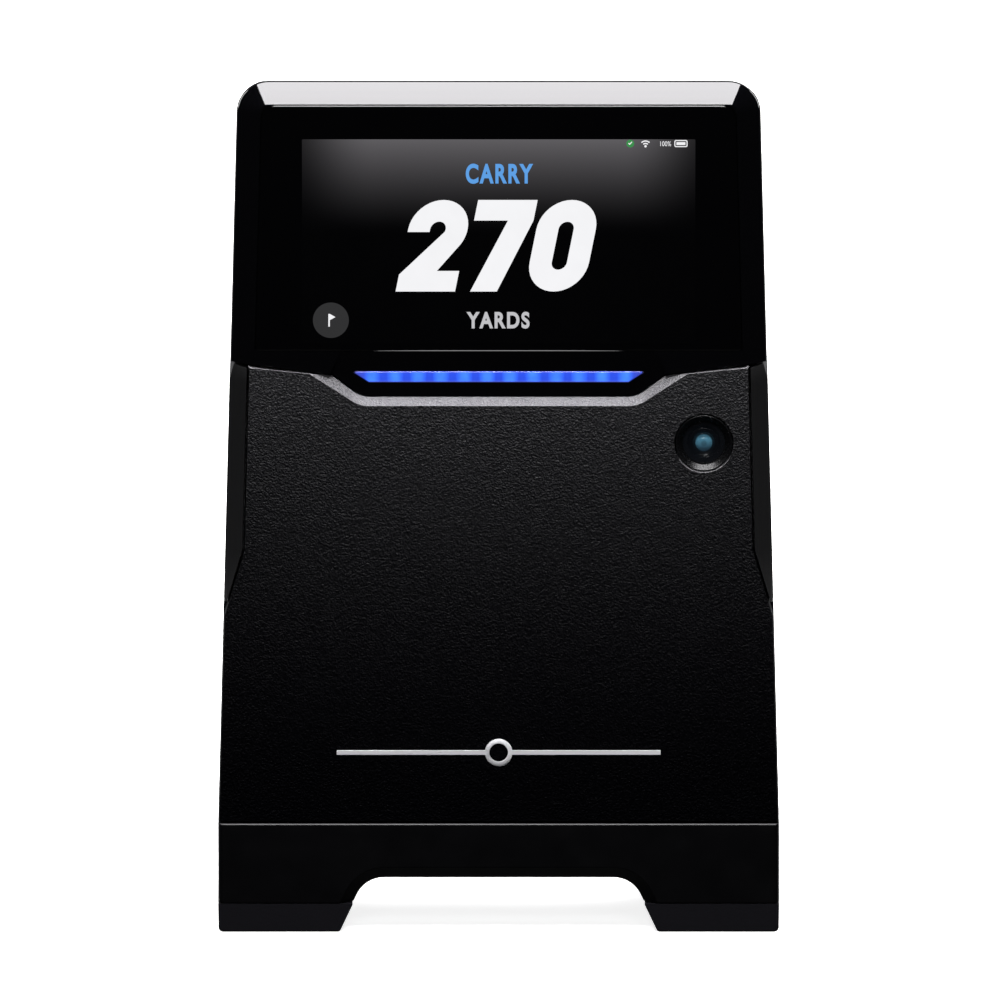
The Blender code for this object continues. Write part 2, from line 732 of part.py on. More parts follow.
def build_head_bezel():
    bm = bmesh.new()
    back_drop = (BEZEL_DEPTH - HEAD_BEVEL) * math.tan(ROOF_SLOPE)
    soft = 0.22 * HEAD_BEVEL
    rings = [
        at_depth(bezel_outline(HEAD_BEVEL, 0.0), HEAD_FRONT),
        at_depth(bezel_outline(HEAD_BEVEL - 0.8 * MM, 0.0), HEAD_FRONT + 0.25 * MM),
        at_depth(bezel_outline(soft * 0.55, 0.0), HEAD_FRONT + HEAD_BEVEL - soft),
        at_depth(bezel_outline(0.0, 0.0), HEAD_FRONT + HEAD_BEVEL + 0.8 * MM),
        at_depth(bezel_outline(0.0, back_drop), BEZEL_BACK),
    ]
    loft(bm, rings)
    bezel = part("head_bezel", bm, "gloss_black")

    bm = bmesh.new()
    deep = WALL + HEAD_BEVEL - BEZEL_PLATE + 0.6 * MM
    rings = [
        at_depth(bezel_outline(deep, 0.0, CHIN_WALL), PLATE_BACK),
        at_depth(bezel_outline(WALL, 0.0, CHIN_WALL), HEAD_FRONT + HEAD_BEVEL + 1.0 * MM),
        at_depth(bezel_outline(WALL, back_drop, CHIN_WALL), BEZEL_BACK),
        at_depth(bezel_outline(WALL, back_drop + 1.0 * MM, CHIN_WALL), BEZEL_BACK + 6 * MM),
    ]
    loft(bm, rings)
    boolean(bezel, "cut_bezel_cavity", bm)

    bm = bmesh.new()
    loft(bm, [at_depth(glass_outline(GAP), y) for y in (FRONT - 5 * MM, GLASS_BACK)])
    boolean(bezel, "cut_glass_seat", bm)
    bm = bmesh.new()
    low, high = screen_box(OLED_BORDER + GAP)
    add_box(bm, (low[0], FRONT - 5 * MM, low[1]), (high[0], PLATE_BACK + 2 * MM, high[1]))
    boolean(bezel, "cut_display_window", bm)

    bm = bmesh.new()
    top, foot = CREASE_Z, CHIN_Z - 3 * MM
    spread = SCOOP_SPREAD
    upper = [
        (-CHIN_KNEE_HALF + spread, HEAD_FRONT, top),
        (CHIN_KNEE_HALF - spread, HEAD_FRONT, top),
        (CHIN_KNEE_HALF + spread, HEAD_FRONT - 8 * MM, top),
        (-CHIN_KNEE_HALF - spread, HEAD_FRONT - 8 * MM, top),
    ]
    lower = [
        (-CHIN_KNEE_HALF - spread, scoop_y(foot), foot),
        (CHIN_KNEE_HALF + spread, scoop_y(foot), foot),
        (CHIN_KNEE_HALF + 2 * spread, HEAD_FRONT - 8 * MM, foot),
        (-CHIN_KNEE_HALF - 2 * spread, HEAD_FRONT - 8 * MM, foot),
    ]
    loft(bm, [upper, lower])
    boolean(bezel, "cut_chin_scoop", bm)
    bm = bmesh.new()
    loft(bm, [at_depth(bar_outline(GAP), y) for y in (FRONT - 5 * MM, PLATE_BACK + 3 * MM)])
    boolean(bezel, "cut_bar_slot", bm)


def build_display():
    bm = bmesh.new()
    loft(bm, [at_depth(glass_outline(0.0), y) for y in (HEAD_FRONT, HEAD_FRONT + GLASS_THICK)])
    part("display_glass", bm, "cover_glass")

    low, high = screen_box(OLED_BORDER)
    oled_front = GLASS_BACK
    oled_back = oled_front + OLED_THICK
    bm = bmesh.new()
    add_box(bm, (low[0], oled_front, low[1]), (high[0], oled_back, high[1]))
    part("oled_panel", bm, "screen_black")

    bracket_front = max(oled_back, PLATE_BACK) + GAP
    bracket_back = bracket_front + 1.2 * MM
    bm = bmesh.new()
    edge = 4.0 * MM
    add_box(bm, (low[0] - edge, bracket_front, low[1]), (high[0] + edge, bracket_back, high[1] + 3 * MM))
    bracket = part("display_bracket", bm, "aluminium")
    bm = bmesh.new()
    rim = 9.0 * MM
    add_box(
        bm,
        (low[0] + rim, bracket_front - 1 * MM, low[1] + rim),
        (high[0] - rim, bracket_back + 1 * MM, high[1] - rim),
    )
    boolean(bracket, "cut_bracket_window", bm)

    board_front = bracket_back + 2.0 * MM
    board_back = board_front + BOARD_THICK
    middle = (low[1] + high[1]) / 2
    bm = bmesh.new()
    half, rise = 34.0 * MM, 14.0 * MM
    add_box(bm, (-half, board_front, middle - rise), (half, board_back, middle + rise))
    part("display_board", bm, "board_green")
    build_display_flex(board_back + GAP, middle)


def build_display_flex(start_y, start_z):
    """The flat flex from the display board down to the main board."""
    end_y, end_z = BOARD_BACK + GAP, main_board_top() - 6 * MM
    thick, half = 0.4 * MM, 9.0 * MM
    low, high = start_z - 4 * MM, start_z + 6 * MM
    bend = HEAD_FOOT + 2 * MM
    line = [(start_y, high), (start_y, low), (end_y, bend), (end_y, end_z)]
    outline = [Vector((y + thick, z)) for y, z in line] + [Vector((y, z)) for y, z in reversed(line)]
    bm = bmesh.new()
    loft(bm, [[(x, p.x, p.y) for p in outline] for x in (-half, half)])
    part("display_flex", bm, "flex_amber")


def build_light_bar():
    bm = bmesh.new()
    outline = bar_outline(0.0)
    front = [(p.x, scoop_y(p.y) - BAR_SINK, p.y) for p in outline]
    back = PLATE_BACK - 0.6 * MM
    loft(bm, [front, at_depth(outline, back)])
    part("light_bar", bm, "light_blue")

    middle = CHIN_Z + BAR_RISE + BAR_HEIGHT / 2
    led_front = PLATE_BACK + GAP
    led_back = led_front + 0.7 * MM
    bm = bmesh.new()
    span = LED_COUNT * LED_PITCH / 2 - 1.5 * MM
    foot = middle - 1.1 * MM
    add_box(bm, (-span, led_back, foot), (span, led_back + 1.0 * MM, foot + 5.0 * MM))
    board = part("led_board", bm, "board_green")
    bm = bmesh.new()
    half = LED_SIZE / 2
    for index in range(LED_COUNT):
        x = (index - (LED_COUNT - 1) / 2) * LED_PITCH
        chip_back = led_back + 0.3 * MM
        add_box(bm, (x - half, led_front, middle - 0.9 * MM), (x + half, chip_back, middle + 0.9 * MM))
    boolean(board, "join_led_chips", bm, "UNION")


def shell_outline(margin, drop, foot):
    top = HEIGHT - margin - drop
    radius = max(1.0 * MM, HEAD_RADIUS - margin)
    step = HEAD_STEP + margin
    right = [(side(foot) - step, foot, 0), (side(top) - step, top, radius)]
    left = [(-x, z, r) for x, z, r in reversed(right)]
    return rounded(right + left, 4)


def head_shell_ring(y, margin, foot):
    """The rear shell at depth y, leaning forward towards the back, with round rear edges."""
    rear_step = BODY_REAR - HEAD_STEP - y
    curl = corner_step(rear_step, REAR_RADIUS)
    ridge = HEAD_FRONT + HEAD_BEVEL
    drop = (y - ridge) * math.tan(ROOF_SLOPE)
    lean = (y - SHELL_FRONT) / (BODY_REAR - SHELL_FRONT) * math.tan(HEAD_REAR_SLOPE)
    outline = shell_outline(margin + curl, drop - curl * 0.3, foot)
    return [(p.x, y - lean * (p.y - HEAD_FOOT), p.y) for p in outline]


def build_head_shell():
    bm = bmesh.new()
    rear = BODY_REAR - HEAD_STEP
    steps = [REAR_RADIUS, 5.4 * MM, 2.6 * MM, 0.8 * MM, 0.0]
    rings = [head_shell_ring(SHELL_FRONT, 0.0, HEAD_FOOT)]
    rings += [head_shell_ring(rear - s, 0.0, HEAD_FOOT) for s in steps]
    loft(bm, rings)
    shell = part("head_rear_shell", bm, "gloss_black")

    bm = bmesh.new()
    low = HEAD_FOOT - 4 * MM
    rings = [
        head_shell_ring(SHELL_FRONT - 5 * MM, WALL, low),
        head_shell_ring(rear - REAR_RADIUS, WALL, low),
        head_shell_ring(rear - WALL - 2.4 * MM, WALL, low),
        head_shell_ring(rear - WALL, WALL, low),
    ]
    loft(bm, rings)
    boolean(shell, "cut_head_cavity", bm)


def build_antenna():
    """A flat wireless antenna board that stands in the top of the head."""
    bm = bmesh.new()
    top = HEIGHT - WALL - HEAD_BEVEL - 6 * MM
    add_box(bm, (-22 * MM, -4 * MM, top - 12 * MM), (22 * MM, -3 * MM, top))
    part("wireless_antenna", bm, "board_green")


# ---------------------------------------------------------------- camera
def build_camera():
    camera = (CAMERA_X, 0, CAMERA_Z)
    window_seat = PANEL_FRONT + CAMERA_SEAT
    rear = window_seat + CAMERA_LIP
    mouth, throat = CAMERA_RADIUS - CAMERA_RIM, CAMERA_WINDOW + GAP
    lip = CAMERA_WINDOW - CAMERA_LIP
    profile = [
        (CAMERA_RADIUS, PANEL_FRONT),
        (mouth, PANEL_FRONT),
        (throat, PANEL_FRONT + mouth - throat),
        (throat, window_seat),
        (lip, window_seat),
        (lip, rear),
        (CAMERA_RADIUS, rear),
    ]
    bm = bmesh.new()
    turned(bm, camera, "y", profile, ROUND, hollow=True)
    part("camera_bezel", bm, "gloss_black")

    bm = bmesh.new()
    rod(bm, camera, "y", CAMERA_WINDOW, window_seat - GAP - WINDOW_THICK, window_seat - GAP, ROUND)
    part("camera_window", bm, "clear_window")

    lens_z = CAMERA_Z - LENS_DROP
    camera = (CAMERA_X, 0, lens_z)
    barrel_front = rear + GAP
    barrel_rear = CHASSIS_FRONT - 1.8 * MM
    bore = LENS_RADIUS + GAP
    bm = bmesh.new()
    profile = [
        (BARREL_RADIUS, barrel_front),
        (bore, barrel_front),
        (bore, barrel_rear - 1.0 * MM),
        (bore * 0.5, barrel_rear - 1.0 * MM),
        (bore * 0.5, barrel_rear),
        (BARREL_RADIUS, barrel_rear),
    ]
    turned(bm, camera, "y", profile, ROUND, hollow=True)
    part("camera_barrel", bm, "chip_black")

    bm = bmesh.new()
    bulge = 1.1 * MM
    start = barrel_front + 0.3 * MM
    dome = [(LENS_RADIUS * math.cos(a), start + bulge * (1 - math.sin(a))) for a in (1.2, 0.8, 0.4, 0.0)]
    turned(bm, camera, "y", [*dome, (LENS_RADIUS, start + 2.6 * MM)], ROUND)
    part("camera_lens", bm, "lens_glass")

    bm = bmesh.new()
    half = 10.5 * MM
    front, back = barrel_rear + GAP, barrel_rear + GAP + 1.0 * MM
    add_box(bm, (CAMERA_X - half, front, lens_z - half), (CAMERA_X + half, back, lens_z + half))
    part("camera_board", bm, "board_green")


# ---------------------------------------------------------------- radar
def build_radar():
    patch_front = WALL_FRONT + 1.4 * MM
    board_front = patch_front + 0.4 * MM
    board_back = board_front + BOARD_THICK
    bm = bmesh.new()
    add_box(bm, (-RADAR_HALF, board_front, RADAR_LOW), (RADAR_HALF, board_back, RADAR_HIGH))
    board = part("radar_board", bm, "board_green")

    bm = bmesh.new()
    middle = (RADAR_LOW + RADAR_HIGH) / 2
    half = PATCH_SIZE / 2
    for column in range(PATCH_COLUMNS):
        x = (column - (PATCH_COLUMNS - 1) / 2) * PATCH_PITCH
        for row in range(PATCH_ROWS):
            z = middle + (row - (PATCH_ROWS - 1) / 2) * PATCH_PITCH
            patch_back = board_front + 0.3 * MM
            if abs(z - middle) + half < (RADAR_HIGH - RADAR_LOW) / 2:
                add_box(bm, (x - half, patch_front, z - half), (x + half, patch_back, z + half))
    boolean(board, "join_radar_patches", bm, "UNION")

    bm = bmesh.new()
    front = board_back + GAP
    back = min(front + SHIELD_DEPTH, CHASSIS_FRONT - GAP)
    edge = 5 * MM
    low = (-RADAR_HALF + edge, front, RADAR_LOW + edge)
    high = (RADAR_HALF - edge, back, RADAR_HIGH - edge)
    add_box(bm, low, high)
    shield = part("radar_shield", bm, "tinned_steel")
    bm = bmesh.new()
    skin = 0.8 * MM
    add_box(
        bm,
        (low[0] + skin, front - 2 * MM, low[2] + skin),
        (high[0] - skin, back - skin, high[2] - skin),
    )
    boolean(shield, "cut_shield_inside", bm)


# ---------------------------------------------------------------- chassis, boards, battery
def inner_half(z):
    return side(z) - WALL


def main_board_top():
    return CHIN_Z - 3.0 * MM


def post_places():
    low, high = BODY_FOOT + POST_RISE, BODY_TOP - POST_RISE
    return [(sign * (inner_half(z) - POST_EDGE), z) for z in (low, high) for sign in (-1, 1)]


def build_chassis():
    low, high = BODY_FOOT + 4.5 * MM, CHIN_Z - 0.6 * MM
    half = inner_half(BODY_TOP) - 0.6 * MM
    bm = bmesh.new()
    add_box(bm, (-half, CHASSIS_FRONT, low), (half, CHASSIS_BACK, high))
    chassis = part("chassis_plate", bm, "aluminium")
    bm = bmesh.new()
    slot_top = high - 8 * MM
    for x in (-38 * MM, 38 * MM):
        add_box(
            bm,
            (x - 12 * MM, CHASSIS_FRONT - 2 * MM, slot_top - 9 * MM),
            (x + 12 * MM, CHASSIS_BACK + 2 * MM, slot_top),
        )
    boolean(chassis, "cut_chassis_slots", bm)
    build_posts(chassis)

    floor_low = BODY_FOOT + GAP
    floor_half = inner_half(BODY_FOOT) - 0.8 * MM
    bm = bmesh.new()
    back = TRAY_FLOOR - TRAY_RIM - 1.0 * MM
    add_box(bm, (-floor_half, WALL_BACK + 1.0 * MM, floor_low), (floor_half, back, floor_low + 2.5 * MM))
    floor = part("chassis_floor", bm, "aluminium")
    bm = bmesh.new()
    for x, y in base_screw_places():
        rod(bm, (x, y, floor_low), "z", SCREW_SHANK + GAP, -3 * MM, 6 * MM, 12)
    boolean(floor, "cut_floor_holes", bm)


def build_main_board():
    half = inner_half(BODY_TOP) - BOARD_SIDE
    low, high = BODY_FOOT + 8.0 * MM, main_board_top()
    bm = bmesh.new()
    add_box(bm, (-half, BOARD_FRONT, low), (half, BOARD_BACK, high))
    board = part("main_board", bm, "board_green")

    chip_back = BOARD_BACK + 1.6 * MM
    sink_top = high - 8 * MM
    sink_low = sink_top - HEAT_SINK_HEIGHT
    middle = (sink_top + sink_low) / 2
    bm = bmesh.new()
    chips = [(-20, -9, 9), (4, -9, 12), (24, 5, 6), (-22, 11, 5)]
    for x, z, size in chips:
        cx, cz, s = x * MM, middle + z * MM, size * MM
        add_box(bm, (cx - s, BOARD_BACK - GAP, cz - s), (cx + s, chip_back, cz + s))
    boolean(board, "join_board_chips", bm, "UNION")

    bm = bmesh.new()
    base_front = chip_back + GAP
    base_back = base_front + 2.5 * MM
    tip = base_front + HEAT_SINK_DEPTH
    half = HEAT_SINK_HALF
    teeth = [Vector((-half, base_front)), Vector((half, base_front))]
    pitch = (2 * half - FIN_THICK) / (FIN_COUNT - 1)
    for index in reversed(range(FIN_COUNT)):
        x = -half + index * pitch
        fin = [(x + FIN_THICK, base_back), (x + FIN_THICK, tip), (x, tip), (x, base_back)]
        if index == FIN_COUNT - 1:
            fin = fin[1:]
        if index == 0:
            fin = fin[:-1]
        teeth += [Vector(p) for p in fin]
    loft(bm, [at_height(teeth, z) for z in (sink_low, sink_top)])
    part("heat_sink", bm, "dark_anodised")


def cell_places():
    """x of each upright cell, as many as fit side by side between the posts."""
    room = 2 * (inner_half(BODY_TOP) - POST_EDGE - POST_RADIUS - 1.0 * MM)
    count = int((room - 2 * CELL_RADIUS) / CELL_PITCH) + 1
    return [(i - (count - 1) / 2) * CELL_PITCH for i in range(count)]


def build_battery():
    low = BODY_FOOT + GAP + 2.5 * MM + GAP + 0.4 * MM
    y = TRAY_FLOOR - TRAY_RIM - 2.4 * MM - CELL_RADIUS
    foot = low + HOLDER_THICK - HOLDER_HOLD + GAP
    places = cell_places()
    bm = bmesh.new()
    web = 3.0 * MM
    add_box(bm, (min(places), y - web, foot + 6 * MM), (max(places), y + web, foot + CELL_LENGTH - 6 * MM))
    pack = part("battery_pack", bm, "cell_wrap")
    bm = bmesh.new()
    for x in places:
        rod(bm, (x, y, 0), "z", CELL_RADIUS, foot, foot + CELL_LENGTH, 20)
    boolean(pack, "join_cells", bm, "UNION")

    half_x = max(places) + CELL_RADIUS + 1.0 * MM
    half_y = CELL_RADIUS + 1.2 * MM
    upper = foot + CELL_LENGTH + GAP - HOLDER_HOLD
    for name, z, hold in (("battery_holder_lower", low, 1), ("battery_holder_upper", upper, -1)):
        bm = bmesh.new()
        add_box(bm, (-half_x, y - half_y, z), (half_x, y + half_y, z + HOLDER_THICK))
        holder = part(name, bm, "holder_black")
        bm = bmesh.new()
        start = foot - GAP if hold > 0 else z - 2 * MM
        end = z + HOLDER_THICK + 2 * MM if hold > 0 else foot + CELL_LENGTH + GAP
        for x in places:
            rod(bm, (x, y, 0), "z", CELL_RADIUS + GAP, start, end, 20)
        boolean(holder, "cut_" + name, bm)
    build_battery_lead(max(places) - 6 * MM, y - half_y, upper + HOLDER_THICK)


def build_battery_lead(x, y, z):
    """The lead from the battery's upper end to the main board."""
    start = Vector((x, y + 5 * MM, z + 1.6 * MM))
    end = Vector((inner_half(BODY_TOP) - BOARD_SIDE - 8 * MM, BOARD_BACK + 1.8 * MM, z + 9 * MM))
    handles = [start, start + Vector((0, 0, 16 * MM)), end + Vector((0, 12 * MM, 0)), end]
    cable("battery_lead", handles, 1.1 * MM, "cable_black", 10)


def cable(name, handles, radius, material, count):
    """A round cable along a cubic curve through its four handles."""
    a, b, c, d = handles
    data = bpy.data.curves.new(name, "CURVE")
    data.dimensions = "3D"
    data.bevel_depth = radius
    data.bevel_resolution = 2
    data.use_fill_caps = True
    spline = data.splines.new("POLY")
    spline.points.add(count)
    for index, point in enumerate(spline.points):
        t = index / count
        place = a * (1 - t) ** 3 + b * 3 * t * (1 - t) ** 2 + c * 3 * t**2 * (1 - t) + d * t**3
        point.co = (*place, 1.0)
    data.materials.append(bpy.data.materials[material])
    obj = bpy.data.objects.new(name, data)
    bpy.context.scene.collection.objects.link(obj)


def build_posts(chassis):
    """Four posts that carry the rear screws, joined to the chassis plate, and their bores."""
    start, end = CHASSIS_BACK - 0.5 * MM, BODY_REAR - WALL - GAP
    bm = bmesh.new()
    for x, z in post_places():
        rod(bm, (x, 0, z), "y", POST_RADIUS, start, end, 12)
    boolean(chassis, "join_posts", bm, "UNION")
    bm = bmesh.new()
    for x, z in post_places():
        rod(bm, (x, 0, z), "y", SCREW_SHANK + GAP, end - SCREW_LENGTH - 2 * MM, end + 2 * MM, 12)
    boolean(chassis, "cut_post_bores", bm)


def screw_hole(bm, place, axis, spots):
    """A stepped hole for one screw: its head from the first spot to the second, then its shank."""
    radii = [SCREW_HEAD + GAP, SCREW_HEAD + GAP, SCREW_SHANK + GAP, SCREW_SHANK + GAP]
    turned(bm, place, axis, list(zip(radii, spots)), 12)


def build_screws():
    spots = [0.0, SCREW_HEAD_THICK, SCREW_HEAD_THICK, SCREW_HEAD_THICK + SCREW_LENGTH]
    radii = [SCREW_HEAD, SCREW_HEAD, SCREW_SHANK, SCREW_SHANK]
    for index, (x, z) in enumerate(post_places()):
        bm = bmesh.new()
        place = (x, BODY_REAR - SCREW_SINK, z)
        turned(bm, place, "y", [(r, -s) for r, s in zip(radii, spots)], 12)
        part(f"rear_screw_{index + 1}", bm, "screw_black")

    head = PAD_HEIGHT + 2 * GAP
    shoulder = head + SCREW_HEAD_THICK - GAP
    top = BODY_FOOT + 4.0 * MM
    for index, (x, y) in enumerate(base_screw_places()):
        bm = bmesh.new()
        spots = [head, shoulder, shoulder, top]
        turned(bm, (x, y, 0), "z", list(zip(radii, spots)), 12)
        part(f"base_screw_{index + 1}", bm, "screw_black")


# ---------------------------------------------------------------- kickstand
def tray_opening():
    """(half width, low z, high z) of the hole in the rear wall that the tray fills."""
    low, high = tray_inside()
    edge = TRAY_RIM + GAP
    return STAND_HALF + STAND_SIDE + edge, low - edge, high + edge


def tray_inside():
    """(low z, high z) of the tray's pocket."""
    return HINGE_Z - STAND_CLEAR, HINGE_Z + STAND_LENGTH + TIP_HEIGHT + FINGER_GAP


def build_kickstand():
    low, high = tray_inside()
    half = STAND_HALF + STAND_SIDE
    bm = bmesh.new()
    back = TRAY_FLOOR - TRAY_RIM
    add_box(bm, (-half - TRAY_RIM, back, low - TRAY_RIM), (half + TRAY_RIM, BODY_REAR, high + TRAY_RIM))
    tray = part("kickstand_tray", bm, "satin_black")
    bm = bmesh.new()
    add_box(bm, (-half, TRAY_FLOOR, low), (half, BODY_REAR + 5 * MM, high))
    boolean(tray, "cut_tray_pocket", bm)
    bm = bmesh.new()
    hole = STAND_PIN_RADIUS + PIN_FIT
    reach = half + TRAY_RIM + 2 * MM
    rod(bm, (0, HINGE_Y, HINGE_Z), "x", hole, -reach, reach)
    boolean(tray, "cut_tray_pin_holes", bm)

    hinge = (0, HINGE_Y, HINGE_Z)
    end = STAND_HALF - WASHER_THICK - GAP
    bm = bmesh.new()
    profile = [(KNUCKLE_RADIUS, -end), (KNUCKLE_RADIUS, end), (hole, end), (hole, -end)]
    turned(bm, hinge, "x", profile, 20, hollow=True)
    stand = part("kickstand", bm, "dark_anodised", hinge)
    plate = (BODY_REAR - STAND_SINK - STAND_THICK, BODY_REAR - STAND_SINK)
    top = HINGE_Z + STAND_LENGTH
    root = HINGE_Z + KNUCKLE_RADIUS - 0.9 * MM
    bm = bmesh.new()
    corners = [(-end, root, 0), (end, root, 0), (end, top, 5 * MM), (-end, top, 5 * MM)]
    outline = rounded(corners)
    loft(bm, [at_depth(outline, y) for y in plate])
    boolean(stand, "join_stand_plate", bm, "UNION")
    bm = bmesh.new()
    across, low_bar, high_bar = STAND_WINDOW, root + STAND_BAR, top - STAND_BAR
    corners = [(-across, low_bar), (across, low_bar), (across, high_bar), (-across, high_bar)]
    outline = rounded([(x, z, 4 * MM) for x, z in corners])
    loft(bm, [at_depth(outline, y) for y in (plate[0] - 2 * MM, plate[1] + 2 * MM)])
    boolean(stand, "cut_stand_window", bm)

    bm = bmesh.new()
    tip_half = STAND_HALF - 7 * MM
    tip_low = top + GAP
    tip = [
        (-tip_half, tip_low, 0),
        (tip_half, tip_low, 0),
        (tip_half - 2 * MM, tip_low + TIP_HEIGHT, 1.2 * MM),
        (-tip_half + 2 * MM, tip_low + TIP_HEIGHT, 1.2 * MM),
    ]
    outline = rounded(tip)
    loft(bm, [at_depth(outline, y) for y in plate])
    part("kickstand_tip", bm, "rubber_black", hinge)

    bm = bmesh.new()
    rod(bm, hinge, "x", STAND_PIN_RADIUS, -half - TRAY_RIM + GAP, half + TRAY_RIM - GAP)
    part("kickstand_pin", bm, "steel")
    near = end + GAP
    far = near + WASHER_THICK
    for name, sign in (("friction_washer_left", -1), ("friction_washer_right", 1)):
        bm = bmesh.new()
        ring = [(WASHER_RADIUS, sign * near), (WASHER_RADIUS, sign * far)]
        ring += [(hole, sign * far), (hole, sign * near)]
        turned(bm, hinge, "x", ring, SMALL_ROUND, hollow=True)
        part(name, bm, "steel")


# ---------------------------------------------------------------- button, port, insert
def button_height():
    return SEAM - BUTTON_DROP


def build_button():
    z = button_height()
    inner = BODY_REAR - WALL
    place = (BUTTON_X, BODY_REAR, z)
    flange = inner - GAP
    bm = bmesh.new()
    profile = [
        (BUTTON_RADIUS - 0.5 * MM, BUTTON_PROUD),
        (BUTTON_RADIUS, BUTTON_PROUD - 0.4 * MM),
        (BUTTON_RADIUS, flange - BODY_REAR),
        (BUTTON_RADIUS + 1.4 * MM, flange - BODY_REAR),
        (BUTTON_RADIUS + 1.4 * MM, flange - BODY_REAR - BUTTON_FLANGE),
        (1.5 * MM, flange - BODY_REAR - BUTTON_FLANGE),
        (1.5 * MM, flange - BODY_REAR - BUTTON_FLANGE - 1.2 * MM),
    ]
    turned(bm, place, "y", profile, ROUND)
    part("power_button", bm, "soft_black", place)

    switch_top = flange - BUTTON_FLANGE - 1.2 * MM - BUTTON_TRAVEL - GAP
    switch_foot = switch_top - 3.4 * MM
    half = 3.0 * MM
    bm = bmesh.new()
    add_box(bm, (BUTTON_X - half, switch_foot, z - half), (BUTTON_X + half, switch_top, z + half))
    part("button_switch", bm, "chip_black")
    board_back = switch_foot - GAP
    bm = bmesh.new()
    low = (LIGHT_X - 4 * MM, board_back - 1.2 * MM, z - 7 * MM)
    add_box(bm, low, (BUTTON_X + 8 * MM, board_back, z + 7 * MM))
    part("button_board", bm, "board_green")
    bm = bmesh.new()
    rod(bm, (LIGHT_X, 0, z), "y", LIGHT_RADIUS, board_back + GAP, BODY_REAR - 0.1 * MM, 12)
    part("status_light_pipe", bm, "led_white")


def build_port():
    y, z = port_hinge()
    hinge = (0, y, z)
    half = PORT_HALF - GAP
    foot = PORT_FOOT + GAP
    front, back = REAR - PORT_COVER_THICK, REAR
    turns = [step * math.pi / 5 for step in range(6)]
    crown = [Vector((y + PORT_CROWN * math.cos(a), z + PORT_CROWN * math.sin(a))) for a in turns]
    outline = [Vector((front, foot)), Vector((back, foot)), *crown, Vector((front, z - 2.2 * MM))]
    bm = bmesh.new()
    loft(bm, [[(x, p.x, p.y) for p in outline] for x in (-half, half)])
    cover = part("port_cover", bm, "soft_black", hinge)
    bm = bmesh.new()
    rod(bm, hinge, "x", PORT_PIN_RADIUS + GAP, -half - 2 * MM, half + 2 * MM, 12)
    boolean(cover, "cut_cover_bore", bm)
    bm = bmesh.new()
    rod(bm, hinge, "x", PORT_PIN_RADIUS, -PORT_HALF - 2.5 * MM, PORT_HALF + 2.5 * MM, 12)
    part("port_cover_pin", bm, "steel")
    build_socket()


def build_socket():
    """The charging socket, open to the rear with a tongue inside, and its board."""
    middle = socket_height()
    rise = SOCKET_HEIGHT / 2
    back = REAR - PORT_RECESS - GAP
    front = back - SOCKET_DEPTH
    bm = bmesh.new()
    add_box(bm, (-SOCKET_HALF, front, middle - rise), (SOCKET_HALF, back, middle + rise))
    socket = part("usb_socket", bm, "tinned_steel")
    bm = bmesh.new()
    low = (-SOCKET_HALF + SOCKET_WALL, front + 1.0 * MM, middle - rise + SOCKET_WALL)
    high = (SOCKET_HALF - SOCKET_WALL, back + 2 * MM, middle + rise - SOCKET_WALL)
    add_box(bm, low, high)
    boolean(socket, "cut_socket_mouth", bm)
    bm = bmesh.new()
    tongue = 0.35 * MM
    low = (-TONGUE_HALF, front + 0.5 * MM, middle - tongue)
    add_box(bm, low, (TONGUE_HALF, back - 0.8 * MM, middle + tongue))
    boolean(socket, "join_socket_tongue", bm, "UNION")

    board_top = middle - rise - GAP
    bm = bmesh.new()
    low = (-10 * MM, front - 9 * MM, board_top - 1.2 * MM)
    add_box(bm, low, (10 * MM, back - PORT_RECESS, board_top))
    part("usb_board", bm, "board_green")


def build_insert():
    bm = bmesh.new()
    seat = ARCH_TOP + WALL + GAP
    profile = [
        (INSERT_RADIUS, ARCH_TOP),
        (INSERT_BORE, ARCH_TOP),
        (INSERT_BORE, ARCH_TOP + INSERT_LENGTH),
        (INSERT_RADIUS, ARCH_TOP + INSERT_LENGTH),
        (INSERT_RADIUS, seat + 1.6 * MM),
        (INSERT_FLANGE, seat + 1.6 * MM),
        (INSERT_FLANGE, seat),
        (INSERT_RADIUS, seat),
    ]
    turned(bm, (0, 0, 0), "z", profile, ROUND, hollow=True)
    part("tripod_insert", bm, "brass")


def main():
    for obj in list(bpy.data.objects):
        bpy.data.objects.remove(obj, do_unlink=True)
    make_materials()
    build_base()
    build_pads()
    build_body_shell()
    build_grips()
    build_front_panel()
    build_badge()
    build_head_bezel()
    build_display()
    build_light_bar()
    build_head_shell()
    build_antenna()
    build_camera()
    build_radar()
    build_chassis()
    build_main_board()
    build_battery()
    build_screws()
    build_kickstand()
    build_button()
    build_port()
    build_insert()


main()
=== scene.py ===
"""The looks of the golf launch monitor: fine shells, screen, materials, light and camera.

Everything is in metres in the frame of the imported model: +Z up, the front facing -Y.
"""

import math

import bmesh
import bpy
from mathutils import Matrix, Vector


